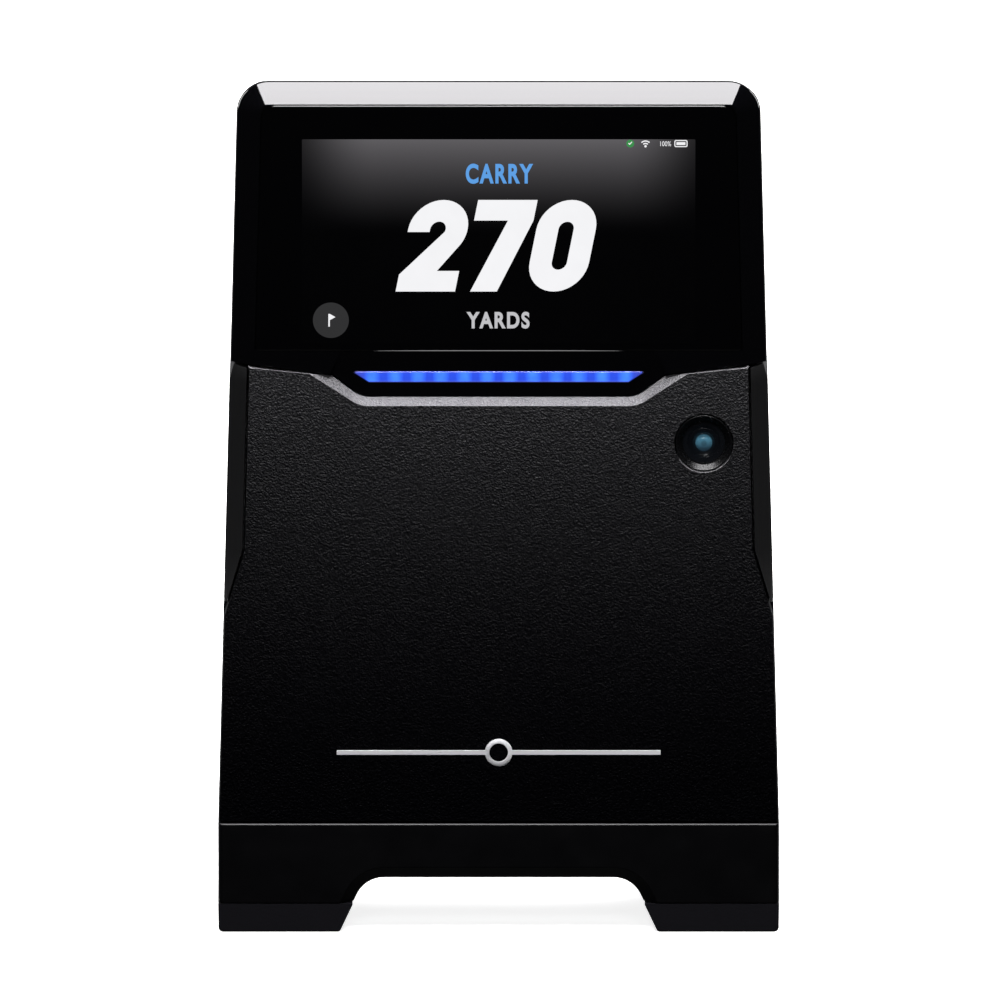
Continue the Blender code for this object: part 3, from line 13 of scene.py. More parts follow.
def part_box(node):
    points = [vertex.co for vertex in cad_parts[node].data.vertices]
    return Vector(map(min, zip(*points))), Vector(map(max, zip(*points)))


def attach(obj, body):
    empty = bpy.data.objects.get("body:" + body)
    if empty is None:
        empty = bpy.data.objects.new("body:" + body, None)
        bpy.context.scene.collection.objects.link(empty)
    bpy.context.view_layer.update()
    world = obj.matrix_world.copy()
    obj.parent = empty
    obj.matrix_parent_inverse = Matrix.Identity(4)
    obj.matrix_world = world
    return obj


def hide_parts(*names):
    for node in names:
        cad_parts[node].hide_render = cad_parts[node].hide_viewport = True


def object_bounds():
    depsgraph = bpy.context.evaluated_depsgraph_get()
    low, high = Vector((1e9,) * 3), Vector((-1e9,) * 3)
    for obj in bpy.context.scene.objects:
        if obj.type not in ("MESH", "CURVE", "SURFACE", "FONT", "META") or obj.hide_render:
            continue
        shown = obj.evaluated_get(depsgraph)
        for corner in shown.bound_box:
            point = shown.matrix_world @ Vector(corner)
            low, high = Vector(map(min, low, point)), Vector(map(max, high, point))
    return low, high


MM = 0.001

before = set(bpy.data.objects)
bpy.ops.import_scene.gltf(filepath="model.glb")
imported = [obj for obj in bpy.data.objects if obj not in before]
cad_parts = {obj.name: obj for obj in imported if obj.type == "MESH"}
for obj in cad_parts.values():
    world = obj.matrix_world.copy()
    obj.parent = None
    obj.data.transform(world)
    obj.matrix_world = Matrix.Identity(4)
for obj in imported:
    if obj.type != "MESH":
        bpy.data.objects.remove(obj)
cad_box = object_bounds()

# ---------------------------------------------------------------- sizes, from the frame
LOW, HIGH = (Vector(corner) for corner in cad_box)
HEIGHT = HIGH.z
WIDTH = 2 * HIGH.x
FRONT = LOW.y
REAR = HIGH.y
BASE_FOOT, BASE_TOP = (corner.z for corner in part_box("base_housing"))
SHELL_LOW, SHELL_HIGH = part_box("body_shell")
PANEL_LOW, PANEL_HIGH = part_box("front_panel")
BEZEL_LOW, BEZEL_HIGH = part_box("head_bezel")
HEAD_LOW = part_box("head_rear_shell")[0]
GLASS_LOW, GLASS_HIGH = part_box("display_glass")
BAR_LOW, BAR_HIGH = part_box("light_bar")
CAMERA_LOW, CAMERA_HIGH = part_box("camera_bezel")
BADGE_LOW, BADGE_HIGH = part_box("badge")
GRIP_LOW, GRIP_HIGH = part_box("side_grip_right")
TRAY_LOW, TRAY_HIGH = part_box("kickstand_tray")
STAND_LOW, STAND_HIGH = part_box("kickstand")
TIP_LOW, TIP_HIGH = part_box("kickstand_tip")
BUTTON_LOW, BUTTON_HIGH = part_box("power_button")
COVER_LOW, COVER_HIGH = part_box("port_cover")
OLED_LOW, OLED_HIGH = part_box("oled_panel")

GAP = 0.3 * MM
WALL = 2.5 * MM
SIDE_TAPER = math.radians(1.5)
REAR_RADIUS = 9.0 * MM
BODY_FOOT, BODY_TOP, BODY_REAR = SHELL_LOW.z, SHELL_HIGH.z, SHELL_HIGH.y
WALL_FRONT = SHELL_LOW.y
WALL_BACK = WALL_FRONT + 2.0 * MM
PANEL_FRONT, PANEL_BACK = PANEL_LOW.y, PANEL_HIGH.y
SEAM = BODY_TOP + GAP

HEAD_FRONT, BEZEL_BACK = BEZEL_LOW.y, BEZEL_HIGH.y
CHIN_Z = BEZEL_LOW.z - 0.4 * MM
HEAD_FOOT = HEAD_LOW.z
HEAD_STEP = 0.1 * MM
HEAD_RADIUS = 9.6 * MM
HEAD_BEVEL = 7.0 * MM
TOP_BEVEL = 6.0 * MM
BEZEL_PLATE = 4.5 * MM
CHIN_WALL = 1.5 * MM
CHIN_HALF = 40.9 * MM
CHIN_KNEE_HALF = 49.5 * MM
CHIN_KNEE_DROP = 3.1 * MM
CHIN_RADIUS = 9.0 * MM
ROOF_SLOPE = math.radians(11.0)
HEAD_REAR_SLOPE = math.radians(10.5)
PLATE_BACK = HEAD_FRONT + BEZEL_PLATE
GLASS_BACK = GLASS_HIGH.y + GAP
CREASE_Z = GLASS_LOW.z
SCOOP_DEPTH = 2.6 * MM
SCOOP_SPREAD = 3.0 * MM

LEDGE_DEPTH = 2.4 * MM
LEDGE_WIDTH = 2.25 * MM
LEDGE_SPREAD = 0.1 * MM
LEDGE_KNEE_HALF = 55.9 * MM
LEDGE_KNEE_DROP = 2.45 * MM
PANEL_EDGE = 0.4 * MM
FACET_WIDTH = 5.2 * MM
FACET_DEPTH = 8.4 * MM
FACET_FOOT = BASE_TOP + 63.4 * MM
FACET_FULL = BASE_TOP + 82.0 * MM

ARCH_TOP = 15.8 * MM
ARCH_HALF = 33.9 * MM
ARCH_RADIUS = 9.0 * MM
ARCH_SLANT = math.radians(25.7)
ARCH_BEVEL = 3.6 * MM
BASE_CORNER = 1.5 * MM
BASE_LIP = 0.38 * MM
PAD_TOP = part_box("foot_pad_right")[1].z
PAD_EDGE = 0.9 * MM
TILT_START = 19.0 * MM
TILT_RISE = 4.0 * MM

BAR_FOOT_HALF = 38.3 * MM
LED_PITCH = 6.8 * MM

CAMERA = (CAMERA_LOW + CAMERA_HIGH) / 2
CAMERA_RADIUS = (CAMERA_HIGH.x - CAMERA_LOW.x) / 2
CAMERA_WINDOW = 6.3 * MM
CAMERA_SEAT = PANEL_FRONT + 3.0 * MM
LENS_LOW, LENS_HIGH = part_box("camera_lens")
LENS = (LENS_LOW + LENS_HIGH) / 2

BADGE_Z = (BADGE_LOW.z + BADGE_HIGH.z) / 2
BADGE_HALF = BADGE_HIGH.x
BADGE_RING = (BADGE_HIGH.z - BADGE_LOW.z) / 2
BADGE_LINE = 1.3 * MM

SHOULDER_DROP = 5.2 * MM
SHOULDER_STEP = 1.3 * MM

GLASS_BORDER = 0.25 * MM
SCREEN_EDGE = 1.4 * MM
SCREEN_HALF = OLED_HIGH.x - SCREEN_EDGE
SCREEN_LOW, SCREEN_HIGH = OLED_LOW.z + SCREEN_EDGE, OLED_HIGH.z - SCREEN_EDGE
SCREEN_FRONT = HEAD_FRONT - 0.05 * MM
READING_FOOT = SCREEN_LOW + 15.6 * MM
CAP_SHARE = 0.72  # a capital's height as a share of the font's size

GROOVE_COUNT = 9
GROOVE_PITCH = 5.4 * MM
GROOVE_WIDTH = 1.2 * MM
GROOVE_DEPTH = 0.7 * MM
PORT_RECESS = 6.6 * MM
SCREW_HEAD_THICK = 1.3 * MM
INSERT_RADIUS = 6.0 * MM
INSERT_BORE = 3.2 * MM
BUTTON_RADIUS = 5.0 * MM
STAND_PLATE = (TIP_LOW.y, TIP_HIGH.y)
STAND_WINDOW = 25.0 * MM
CLEAR = 5.0 * MM
PIN_GAP = 0.35 * MM

CASING, STAND, BUTTON, FLAP = "casing", "stand", "button", "flap"
FINE = 12
ROUND = 96


def side(z):
    """Half the body's width at height z: upright in the base, then leaning in."""
    return WIDTH / 2 - max(0.0, z - BASE_TOP) * math.tan(SIDE_TAPER)


def shoulder(z):
    """How far the body's sides draw in at height z, just under the head."""
    return SHOULDER_STEP * max(0.0, 1 - (BODY_TOP - z) / SHOULDER_DROP)


def facet(z):
    """Width of the slanting corner facet at height z."""
    return FACET_WIDTH * min(1.0, max(0.0, (z - FACET_FOOT) / (FACET_FULL - FACET_FOOT)))


def corner_step(distance, radius):
    """How far a round corner draws in, at this distance from the face that it runs into."""
    reach = radius - min(radius, max(0.0, distance))
    return radius - math.sqrt(max(0.0, radius**2 - reach**2))


def corner_steps(radius, count):
    """Distances from the face that space a round corner's rings evenly by angle."""
    return [radius * (1 - math.sin(math.pi / 2 * i / count)) for i in range(count + 1)]


# ---------------------------------------------------------------- materials
def node(tree, kind, inputs=None, **settings):
    """A node with its settings and with its inputs set to numbers or linked to sockets."""
    made = tree.nodes.new(kind)
    for key, value in settings.items():
        setattr(made, key, value)
    for key, value in (inputs or {}).items():
        if isinstance(value, bpy.types.NodeSocket):
            tree.links.new(value, made.inputs[key])
        else:
            made.inputs[key].default_value = value
    return made


def place(tree, scale=(1, 1, 1)):
    """The surface point in millimetres, stretched by scale."""
    spot = node(tree, "ShaderNodeTexCoord")
    stretch = tuple(s / MM for s in scale)
    return node(tree, "ShaderNodeMapping", {"Vector": spot.outputs["Object"], "Scale": stretch}).outputs[0]


def noise(tree, vector, size, detail=2.0, distortion=0.0):
    """Noise whose features are about size millimetres across."""
    inputs = {"Vector": vector, "Scale": 1 / size, "Detail": detail, "Distortion": distortion}
    return node(tree, "ShaderNodeTexNoise", inputs).outputs["Fac"]


def remap(tree, value, low, high, to_low, to_high, kind="LINEAR"):
    """The value carried from one range to another, and held at the ends."""
    inputs = {"Value": value, "From Min": low, "From Max": high, "To Min": to_low, "To Max": to_high}
    return node(tree, "ShaderNodeMapRange", inputs, interpolation_type=kind).outputs[0]


def math_node(tree, operation, a, b=0.0):
    """One step of arithmetic on numbers or sockets."""
    made = node(tree, "ShaderNodeMath", operation=operation)
    for socket, value in zip(made.inputs, (a, b)):
        if isinstance(value, bpy.types.NodeSocket):
            tree.links.new(value, socket)
        else:
            socket.default_value = value
    return made.outputs[0]


def mix(tree, factor, first, second):
    """A colour between first and second."""
    made = node(tree, "ShaderNodeMix", data_type="RGBA")
    for index, value in ((0, factor), (6, first), (7, second)):
        if isinstance(value, bpy.types.NodeSocket):
            tree.links.new(value, made.inputs[index])
        elif index:
            made.inputs[index].default_value = (*value, 1.0)
        else:
            made.inputs[index].default_value = value
    return made.outputs[2]


def vector_node(tree, operation, a, b=(0, 0, 0)):
    """One step of arithmetic on vectors or sockets."""
    return node(tree, "ShaderNodeVectorMath", {0: a, 1: b}, operation=operation).outputs


def axes_of(tree, vector):
    """The X, Y and Z of a vector, by name."""
    return node(tree, "ShaderNodeSeparateXYZ", {0: vector}).outputs


def bump_of(tree, height, depth):
    """A normal bumped by height, depth millimetres deep."""
    inputs = {"Height": height, "Distance": depth * MM, "Strength": 1.0}
    return node(tree, "ShaderNodeBump", inputs).outputs[0]


def feed(shader, name, socket):
    """Links a socket to one of the shader's inputs."""
    shader.id_data.links.new(socket, shader.inputs[name])


def shader_of(name, roughness, metallic=0.0, **constants):
    """A new material with its tree and its Principled shader."""
    material = bpy.data.materials.new(name)
    material.use_nodes = True
    tree = material.node_tree
    shader = tree.nodes["Principled BSDF"]
    shader.inputs["Roughness"].default_value = roughness
    shader.inputs["Metallic"].default_value = metallic
    for key, value in constants.items():
        shader.inputs[key.replace("_", " ")].default_value = value
    return material, tree, shader


def surface(name, colour, roughness, metallic=0.0, vary=0.12, patch=9.0, rough_vary=0.05,
            grain=0.35, depth=0.0, stretch=(1, 1, 1), **constants):
    """A moulded or machined surface: cloudy colour and roughness, and a fine grain in its bump."""
    material, tree, shader = shader_of(name, roughness, metallic, **constants)
    point = place(tree, stretch)
    cloud = noise(tree, point, patch, 3.0)
    darker = tuple(c * (1 - vary) for c in colour)
    lighter = tuple(min(1.0, c * (1 + vary)) for c in colour)
    feed(shader, "Base Color", mix(tree, cloud, darker, lighter))
    fine = noise(tree, point, grain, 2.0)
    blend = math_node(tree, "MULTIPLY", math_node(tree, "ADD", cloud, fine), 0.5)
    rough = remap(tree, blend, 0.3, 0.7, roughness - rough_vary, roughness + rough_vary)
    feed(shader, "Roughness", rough)
    if depth:
        feed(shader, "Normal", bump_of(tree, fine, depth))
    return material


def leather_panel():
    """Black moulded plastic with a fine leather grain. Its up-facing ledge is painted pale as a painted
    highlight. Its colour and sheen are painted brighter towards the top and darker downwards, standing in for
    the light from above.
    """
    material, tree, shader = shader_of("textured_black", 0.5)
    point = place(tree)
    drift = node(tree, "ShaderNodeTexNoise", {"Vector": point, "Scale": 1.1, "Detail": 1.0})
    bent = vector_node(tree, "MULTIPLY", drift.outputs["Color"], (0.9, 0.9, 0.9))
    shifted = vector_node(tree, "ADD", point, bent[0])[0]
    cells = node(tree, "ShaderNodeTexVoronoi", {"Vector": shifted, "Scale": 1.45})
    pebbles = remap(tree, cells.outputs["Distance"], 0.05, 0.7, 1.0, 0.0)
    wrinkles = noise(tree, shifted, 0.55, 2.0)
    height = math_node(tree, "ADD", math_node(tree, "MULTIPLY", pebbles, 0.5), wrinkles)
    feed(shader, "Normal", bump_of(tree, height, 0.34))
    up = node(tree, "ShaderNodeNewGeometry")
    facing = axes_of(tree, up.outputs["Normal"])["Z"]
    ledge = remap(tree, facing, 0.35, 0.62, 0.0, 1.0)
    high = axes_of(tree, point)["Z"]
    # Painted light and shade: colour brightens towards the top of the panel and darkens downwards, as the
    # light from above falls off
    painted_top_light = remap(tree, high, BODY_FOOT / MM, BODY_TOP / MM, 0.0, 1.0)
    painted_top_light = math_node(tree, "POWER", painted_top_light, 2.2)
    dark = mix(tree, painted_top_light, (0.0002, 0.0002, 0.0005), (0.0014, 0.0013, 0.0019))
    light = mix(tree, painted_top_light, (0.0006, 0.0006, 0.0010), (0.0080, 0.0076, 0.0098))
    shade = mix(tree, pebbles, dark, light)
    # Painted highlight: up-facing faces (the ledge) get a pale grey that stands in for the overhead light
    # they catch
    ledge_highlight = mix(tree, wrinkles, (0.070, 0.068, 0.074), (0.185, 0.181, 0.190))
    feed(shader, "Base Color", mix(tree, ledge, shade, ledge_highlight))
    rough = remap(tree, wrinkles, 0.3, 0.7, 0.60, 0.42)
    feed(shader, "Roughness", rough)
    # Painted sheen: the specular level is raised towards the top and on the up-facing ledge, standing in for
    # the overhead light
    sheen = remap(tree, math_node(tree, "ADD", painted_top_light, ledge), 0.0, 1.0, 0.015, 0.27)
    feed(shader, "Specular IOR Level", sheen)
    return material


def lit_bar():
    """A blue diffuser: a brighter spot over each diode, a pale lower edge."""
    material, tree, shader = shader_of("light_blue", 0.25, Emission_Strength=1.0)
    point = place(tree)
    axes = axes_of(tree, point)
    turn = math_node(tree, "MULTIPLY", axes["X"], 2 * math.pi * MM / LED_PITCH)
    wave = math_node(tree, "COSINE", math_node(tree, "ADD", turn, math.pi))
    spots = remap(tree, wave, -0.75, 0.9, 0.0, 1.0)
    blotch = noise(tree, point, 3.0, 2.0)
    spots = math_node(tree, "MULTIPLY", spots, remap(tree, blotch, 0.2, 0.7, 0.6, 1.0))
    blue = mix(tree, spots, (0.010, 0.040, 0.56), (0.045, 0.21, 0.98))
    height = math_node(tree, "SUBTRACT", axes["Z"], BAR_LOW.z / MM)
    edge = remap(tree, height, 0.0, 0.55, 0.75, 0.0)
    blue = mix(tree, edge, blue, (0.10, 0.13, 0.62))
    edge = remap(tree, height, 2.6, 3.1, 0.0, 0.7)
    blue = mix(tree, edge, blue, (0.09, 0.08, 0.50))
    across = math_node(tree, "ABSOLUTE", axes["X"])
    ends = remap(tree, across, BAR_FOOT_HALF / MM, BAR_HIGH.x / MM, 0.0, 0.85)
    blue = mix(tree, ends, blue, (0.055, 0.035, 0.13))
    feed(shader, "Emission Color", blue)
    feed(shader, "Base Color", mix(tree, spots, (0.02, 0.05, 0.3), (0.03, 0.09, 0.5)))
    return material


def glow(name, colour, vary=0.06):
    """What a display shows: light of one colour, with the faint unevenness of its pixels."""
    material, tree, shader = shader_of(name, 0.05, Emission_Strength=1.0)
    point = place(tree)
    cloud = noise(tree, point, 6.0, 2.0)
    darker = tuple(c * (1 - vary) for c in colour)
    lit = mix(tree, cloud, darker, colour)
    feed(shader, "Emission Color", lit)
    feed(shader, "Base Color", mix(tree, cloud, (0.001, 0.001, 0.001), (0.002, 0.002, 0.002)))
    return material


def screen_glow():
    """The display's backdrop: grey at the top, fading to black downwards and to both sides."""
    material, tree, shader = shader_of("screen_black", 0.05, Emission_Strength=1.0)
    point = place(tree)
    axes = axes_of(tree, point)
    top = SCREEN_HIGH / MM
    fall = remap(tree, axes["Z"], top - 29.0, top, 0.0, 1.0)
    fall = math_node(tree, "POWER", fall, 2.1)
    across = math_node(tree, "ABSOLUTE", axes["X"])
    reach = remap(tree, across, SCREEN_HALF / MM - 22.0, SCREEN_HALF / MM + 3.0, 1.0, 0.12, "SMOOTHSTEP")
    grey = math_node(tree, "MULTIPLY", fall, reach)
    lit = mix(tree, grey, (0.0, 0.0, 0.0), (0.112, 0.107, 0.114))
    feed(shader, "Emission Color", lit)
    cloud = noise(tree, point, 8.0, 2.0)
    feed(shader, "Base Color", mix(tree, cloud, (0.0003, 0.0003, 0.0004), (0.0005, 0.0005, 0.0006)))
    return material


def brushed(name, colour, roughness, across=(1, 0.06, 1)):
    """Brushed metal: fine lines along one way."""
    return surface(name, colour, roughness, 1.0, 0.08, 6.0, 0.08, 0.25, 0.012, across)


def circuit_board():
    """Green solder mask over copper tracks."""
    material, tree, shader = shader_of("board_green", 0.38)
    point = place(tree)
    tracks = node(tree, "ShaderNodeTexBrick", {"Vector": point, "Scale": 0.35, "Mortar Size": 0.06})
    mask = mix(tree, tracks.outputs["Fac"], (0.010, 0.085, 0.040), (0.035, 0.190, 0.085))
    feed(shader, "Base Color", mask)
    feed(shader, "Normal", bump_of(tree, tracks.outputs["Fac"], 0.03))
    return material


def lens_coating():
    """A coated front element: teal in the middle, darker and bluer towards its rim. Its upper part is painted
    lighter, a painted reflection of the light from above. The same colours feed the emission, so the lens
    glows as painted light.
    """
    material, tree, shader = shader_of("lens_glass", 0.04, Coat_Weight=1.0, Coat_Roughness=0.02)
    point = place(tree)
    middle = vector_node(tree, "SUBTRACT", point, tuple(c / MM for c in LENS))
    flat = vector_node(tree, "MULTIPLY", middle[0], (1, 0, 1))
    radius = vector_node(tree, "LENGTH", flat[0])["Value"]
    axes = axes_of(tree, middle[0])
    # Painted reflection: the coat is painted lighter towards the top, as if it mirrored the light above
    upper = remap(tree, axes["Z"], -1.6, 1.4, 0.0, 1.0)
    coat = mix(tree, upper, (0.018, 0.045, 0.070), (0.075, 0.225, 0.320))
    pupil = remap(tree, radius, 0.6, 1.1, 0.5, 0.0)
    coat = mix(tree, pupil, coat, (0.012, 0.030, 0.040))
    rim = remap(tree, radius, 2.3, 2.6, 0.0, 0.6)
    coat = mix(tree, rim, coat, (0.010, 0.016, 0.024))
    feed(shader, "Base Color", coat)
    # Painted light: the lens glows with its own colours, though it is no lamp
    feed(shader, "Emission Color", coat)
    shader.inputs["Emission Strength"].default_value = 0.55
    return material


def clear_cover():
    """A clear flat window with a gloss of its own."""
    material, tree, shader = shader_of("clear_window", 0.03, Alpha=0.16)
    cloud = noise(tree, place(tree), 5.0, 2.0)
    feed(shader, "Base Color", mix(tree, cloud, (0.004, 0.005, 0.007), (0.008, 0.010, 0.014)))
    return material


# Colour and roughness, sometimes metallic and more in surface's own order, then what differs by name.
SURFACES = {
    "satin_black": ((0.0010, 0.0010, 0.0013), 0.32,
                    {"grain": 0.3, "depth": 0.012, "Specular_IOR_Level": 0.22}),
    "gloss_black": ((0.0006, 0.0006, 0.0008), 0.06, {"rough_vary": 0.02, "patch": 20.0}),
    "soft_black": ((0.0007, 0.0007, 0.0009), 0.48,
                   {"grain": 0.25, "depth": 0.02, "Specular_IOR_Level": 0.03}),
    "rubber_black": ((0.0028, 0.0026, 0.0042), 0.72,
                     {"grain": 0.4, "depth": 0.05, "Specular_IOR_Level": 0.12}),
    "cover_glass": ((0.0003, 0.0003, 0.0004), 0.035, {"rough_vary": 0.012, "patch": 30.0}),
    "led_white": ((0.75, 0.80, 0.86), 0.3, {"vary": 0.05}),
    "dark_anodised": ((0.045, 0.045, 0.05), 0.42, 1.0, {"grain": 0.2, "depth": 0.01}),
    "chip_black": ((0.013, 0.013, 0.014), 0.5, {"grain": 0.2, "depth": 0.01}),
    "cell_wrap": ((0.05, 0.19, 0.42), 0.4, {"vary": 0.15, "patch": 14.0}),
    "camera_cone": ((0.0012, 0.0012, 0.0014), 0.26,
                    {"grain": 0.5, "depth": 0.10, "Specular_IOR_Level": 0.32}),
    "barrel_black": ((0.0006, 0.0006, 0.0007), 0.2, {"grain": 0.2, "depth": 0.004}),
    "holder_black": ((0.022, 0.022, 0.024), 0.55, {"depth": 0.02}),
    "cable_black": ((0.014, 0.014, 0.015), 0.5, {"depth": 0.02}),
    "flex_amber": ((0.42, 0.20, 0.04), 0.4, {"vary": 0.2, "patch": 4.0}),
    "screw_black": ((0.030, 0.030, 0.032), 0.34, 1.0, {"depth": 0.01}),
    "badge_silver": ((0.62, 0.62, 0.64), 0.34, 0.25, 0.08, 5.0, 0.08, 0.25, 0.010, (0.06, 1, 1), {}),
}
# Colour and roughness, and the way of the brushing where it differs.
METALS = {
    "tinned_steel": ((0.60, 0.61, 0.62), 0.35),
    "aluminium": ((0.56, 0.57, 0.58), 0.40),
    "steel": ((0.55, 0.55, 0.56), 0.28),
    "brass": ((0.72, 0.54, 0.22), 0.28, (0.06, 1, 1)),
}
# The colours of the display's light.
GLOWS = {
    "glow_white": (0.93, 0.93, 0.95),
    "glow_soft": (0.55, 0.55, 0.57),
    "glow_blue": (0.115, 0.36, 0.80),
    "glow_green": (0.045, 0.28, 0.075),
    "glow_disc": (0.030, 0.030, 0.031),
}


def make_materials():
    """Every material, by name."""
    made = {
        "textured_black": leather_panel(),
        "screen_black": screen_glow(),
        "light_blue": lit_bar(),
        "lens_glass": lens_coating(),
        "clear_window": clear_cover(),
        "board_green": circuit_board(),
    }
    for name, (*look, more) in SURFACES.items():
        made[name] = surface(name, *look, **more)
    for name, look in METALS.items():
        made[name] = brushed(name, *look)
    for name, colour in GLOWS.items():
        made[name] = glow(name, colour)
    return made


MATERIALS = make_materials()


# ---------------------------------------------------------------- mesh tools
def rounded(corners, steps=FINE):
    """An outline from (x, z, radius) corners, each radius above 0 drawn as an arc."""
    points = []
    for index, (x, z, radius) in enumerate(corners):
        here = Vector((x, z))
        if radius <= 0:
            points.append(here)
            continue
        before = (Vector(corners[index - 1][:2]) - here).normalized()
        after = (Vector(corners[(index + 1) % len(corners)][:2]) - here).normalized()
        half = before.angle(after) / 2
        centre = here + (before + after).normalized() * radius / math.sin(half)
        start = here + before * radius / math.tan(half) - centre
        end = here + after * radius / math.tan(half) - centre
        sweep = start.angle(end)
        for step in range(steps + 1):
            t = step / steps
            spoke = start * math.sin((1 - t) * sweep) + end * math.sin(t * sweep)
            points.append(centre + spoke / math.sin(sweep))
    return points


def mirrored(right, steps=FINE):
    """A symmetric outline from the (x, z, radius) corners of its right half, foot first."""
    return rounded(right + [(-x, z, r) for x, z, r in reversed(right)], steps)


def at_depth(points, y):
    """An outline seen from the front, placed at depth y."""
    return [(p.x, y, p.y) for p in points]


def at_height(points, z):
    """An outline seen from above, placed at height z."""
    return [(p.x, p.y, z) for p in points]


def loft(bm, rings, closed=False):
    """Joins rings of equal length. Open lofts get end faces, closed ones return to the first ring."""
    rows = [[bm.verts.new(p) for p in ring] for ring in rings]
    pairs = list(zip(rows, rows[1:]))
    if closed:
        pairs.append((rows[-1], rows[0]))
    for low, high in pairs:
        for i in range(len(low)):
            j = (i + 1) % len(low)
            bm.faces.new((low[i], low[j], high[j], high[i]))
    if not closed:
        bm.faces.new(rows[0])
        bm.faces.new(rows[-1])


def prism(bm, outline, depths):
    """A front-view outline carried straight through the depths."""
    loft(bm, [at_depth(outline, y) for y in depths])


def block(bm, low, high):
    """A box between two corners."""
    corners = [(low[0], low[1]), (high[0], low[1]), (high[0], high[1]), (low[0], high[1])]
    loft(bm, [[(x, y, z) for x, y in corners] for z in (low[2], high[2])])


def ring_of(centre, radius, axis, sides):
    """Points round a circle about the axis."""
    across, up = {
        "x": (Vector((0, 1, 0)), Vector((0, 0, 1))),
        "y": (Vector((0, 0, 1)), Vector((1, 0, 0))),
        "z": (Vector((1, 0, 0)), Vector((0, 1, 0))),
    }[axis]
    turns = [2 * math.pi * (i + 0.5) / sides for i in range(sides)]
    return [centre + across * radius * math.cos(a) + up * radius * math.sin(a) for a in turns]


def turned(bm, centre, axis, profile, sides=ROUND, hollow=False):
    """A turned shape from (radius, distance along the axis) pairs. A hollow one closes on itself."""
    along = {"x": Vector((1, 0, 0)), "y": Vector((0, 1, 0)), "z": Vector((0, 0, 1))}[axis]
    loft(bm, [ring_of(Vector(centre) + along * d, r, axis, sides) for r, d in profile], hollow)


def rod(bm, centre, axis, radius, start, end, sides=32):
    """A plain round bar from start to end along the axis."""
    turned(bm, centre, axis, [(radius, start), (radius, end)], sides)


def solid(name, bm):
    """A mesh object from what was drawn in bm."""
    bmesh.ops.recalc_face_normals(bm, faces=bm.faces)
    mesh = bpy.data.meshes.new(name)
    bm.to_mesh(mesh)
    bm.free()
    obj = bpy.data.objects.new(name, mesh)
    bpy.context.scene.collection.objects.link(obj)
    return obj


def settle(obj):
    """Applies the object's modifiers."""
    bpy.context.view_layer.update()
    graph = bpy.context.evaluated_depsgraph_get()
    mesh = bpy.data.meshes.new_from_object(obj.evaluated_get(graph))
    obj.modifiers.clear()
    old = obj.data
    obj.data = mesh
    bpy.data.meshes.remove(old)


def drawn(name, draw, *shape, **settings):
    """A mesh object of one shape, drawn by one of the tools above."""
    bm = bmesh.new()
    draw(bm, *shape, **settings)
    return solid(name, bm)


def carve(obj, draw, *shape, operation="DIFFERENCE"):
    """Cuts the shape that draw makes out of obj, or joins it."""
    helper = drawn("helper", draw, *shape)
    modifier = obj.modifiers.new("carve", "BOOLEAN")
    modifier.operation = operation
    modifier.solver = "EXACT"
    modifier.object = helper
    settle(obj)
    bpy.data.objects.remove(helper, do_unlink=True)


def soften(obj, width, segments=3, angle=32):
    """Rounds the edges that are sharper than angle."""
    modifier = obj.modifiers.new("soften", "BEVEL")
    modifier.width = width
    modifier.segments = segments
    modifier.limit_method = "ANGLE"
    modifier.angle_limit = math.radians(angle)
    modifier.harden_normals = True
    modifier.use_clamp_overlap = True
    settle(obj)


def piece(obj, material, body, *nodes, slot=None, smooth=35):
    """Finishes a piece: shading, material, its body, and the CAD nodes that it stands for."""
    obj.data.shade_smooth()
    obj.data.set_sharp_from_angle(angle=math.radians(smooth))
    weighted = obj.modifiers.new("weighted", "WEIGHTED_NORMAL")
    weighted.keep_sharp = True
    weighted.weight = 100
    obj.data.materials.clear()
    obj.data.materials.append(MATERIALS[material])
    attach(obj, body)
    if nodes:
        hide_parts(*nodes)
    return obj


def round_node(name, across="x"):
    """The middle and the radius of a round CAD node."""
    low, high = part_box(name)
    return (low + high) / 2, (getattr(high, across) - getattr(low, across)) / 2


# ---------------------------------------------------------------- base and feet
def arch(offset, foot):
    """Left half of the arch, from the foot level up and in to the ceiling, grown by offset."""
    radius = ARCH_RADIUS + offset
    centre = Vector((ARCH_HALF, ARCH_TOP - ARCH_RADIUS))
    turn = math.pi / 2 - ARCH_SLANT
    turns = [turn * step / FINE for step in range(FINE + 1)]
    arc = [centre + radius * Vector((math.sin(a), math.cos(a))) for a in turns]
    lowest = arc[-1]
    toe = Vector((lowest.x + (lowest.y - foot) * math.tan(ARCH_SLANT), foot))
    return [Vector((-p.x, p.y)) for p in [toe, *reversed(arc)]]


def base_ring(y):
    """Front-view outline of the base at depth y."""
    front_step, rear_step = y - FRONT, REAR - y
    narrow = max(corner_step(front_step, BASE_CORNER), corner_step(rear_step, REAR_RADIUS))
    half = WIDTH / 2 - narrow
    top = BASE_TOP - max(0.0, BASE_LIP - front_step)
    left = arch(max(0.0, ARCH_BEVEL - front_step), BASE_FOOT)
    right = [Vector((-p.x, p.y)) for p in reversed(left)]
    outline = [Vector((half, BASE_FOOT)), Vector((half, top)), Vector((-half, top)),
               Vector((-half, BASE_FOOT))]
    return at_depth(left + right + outline, y)


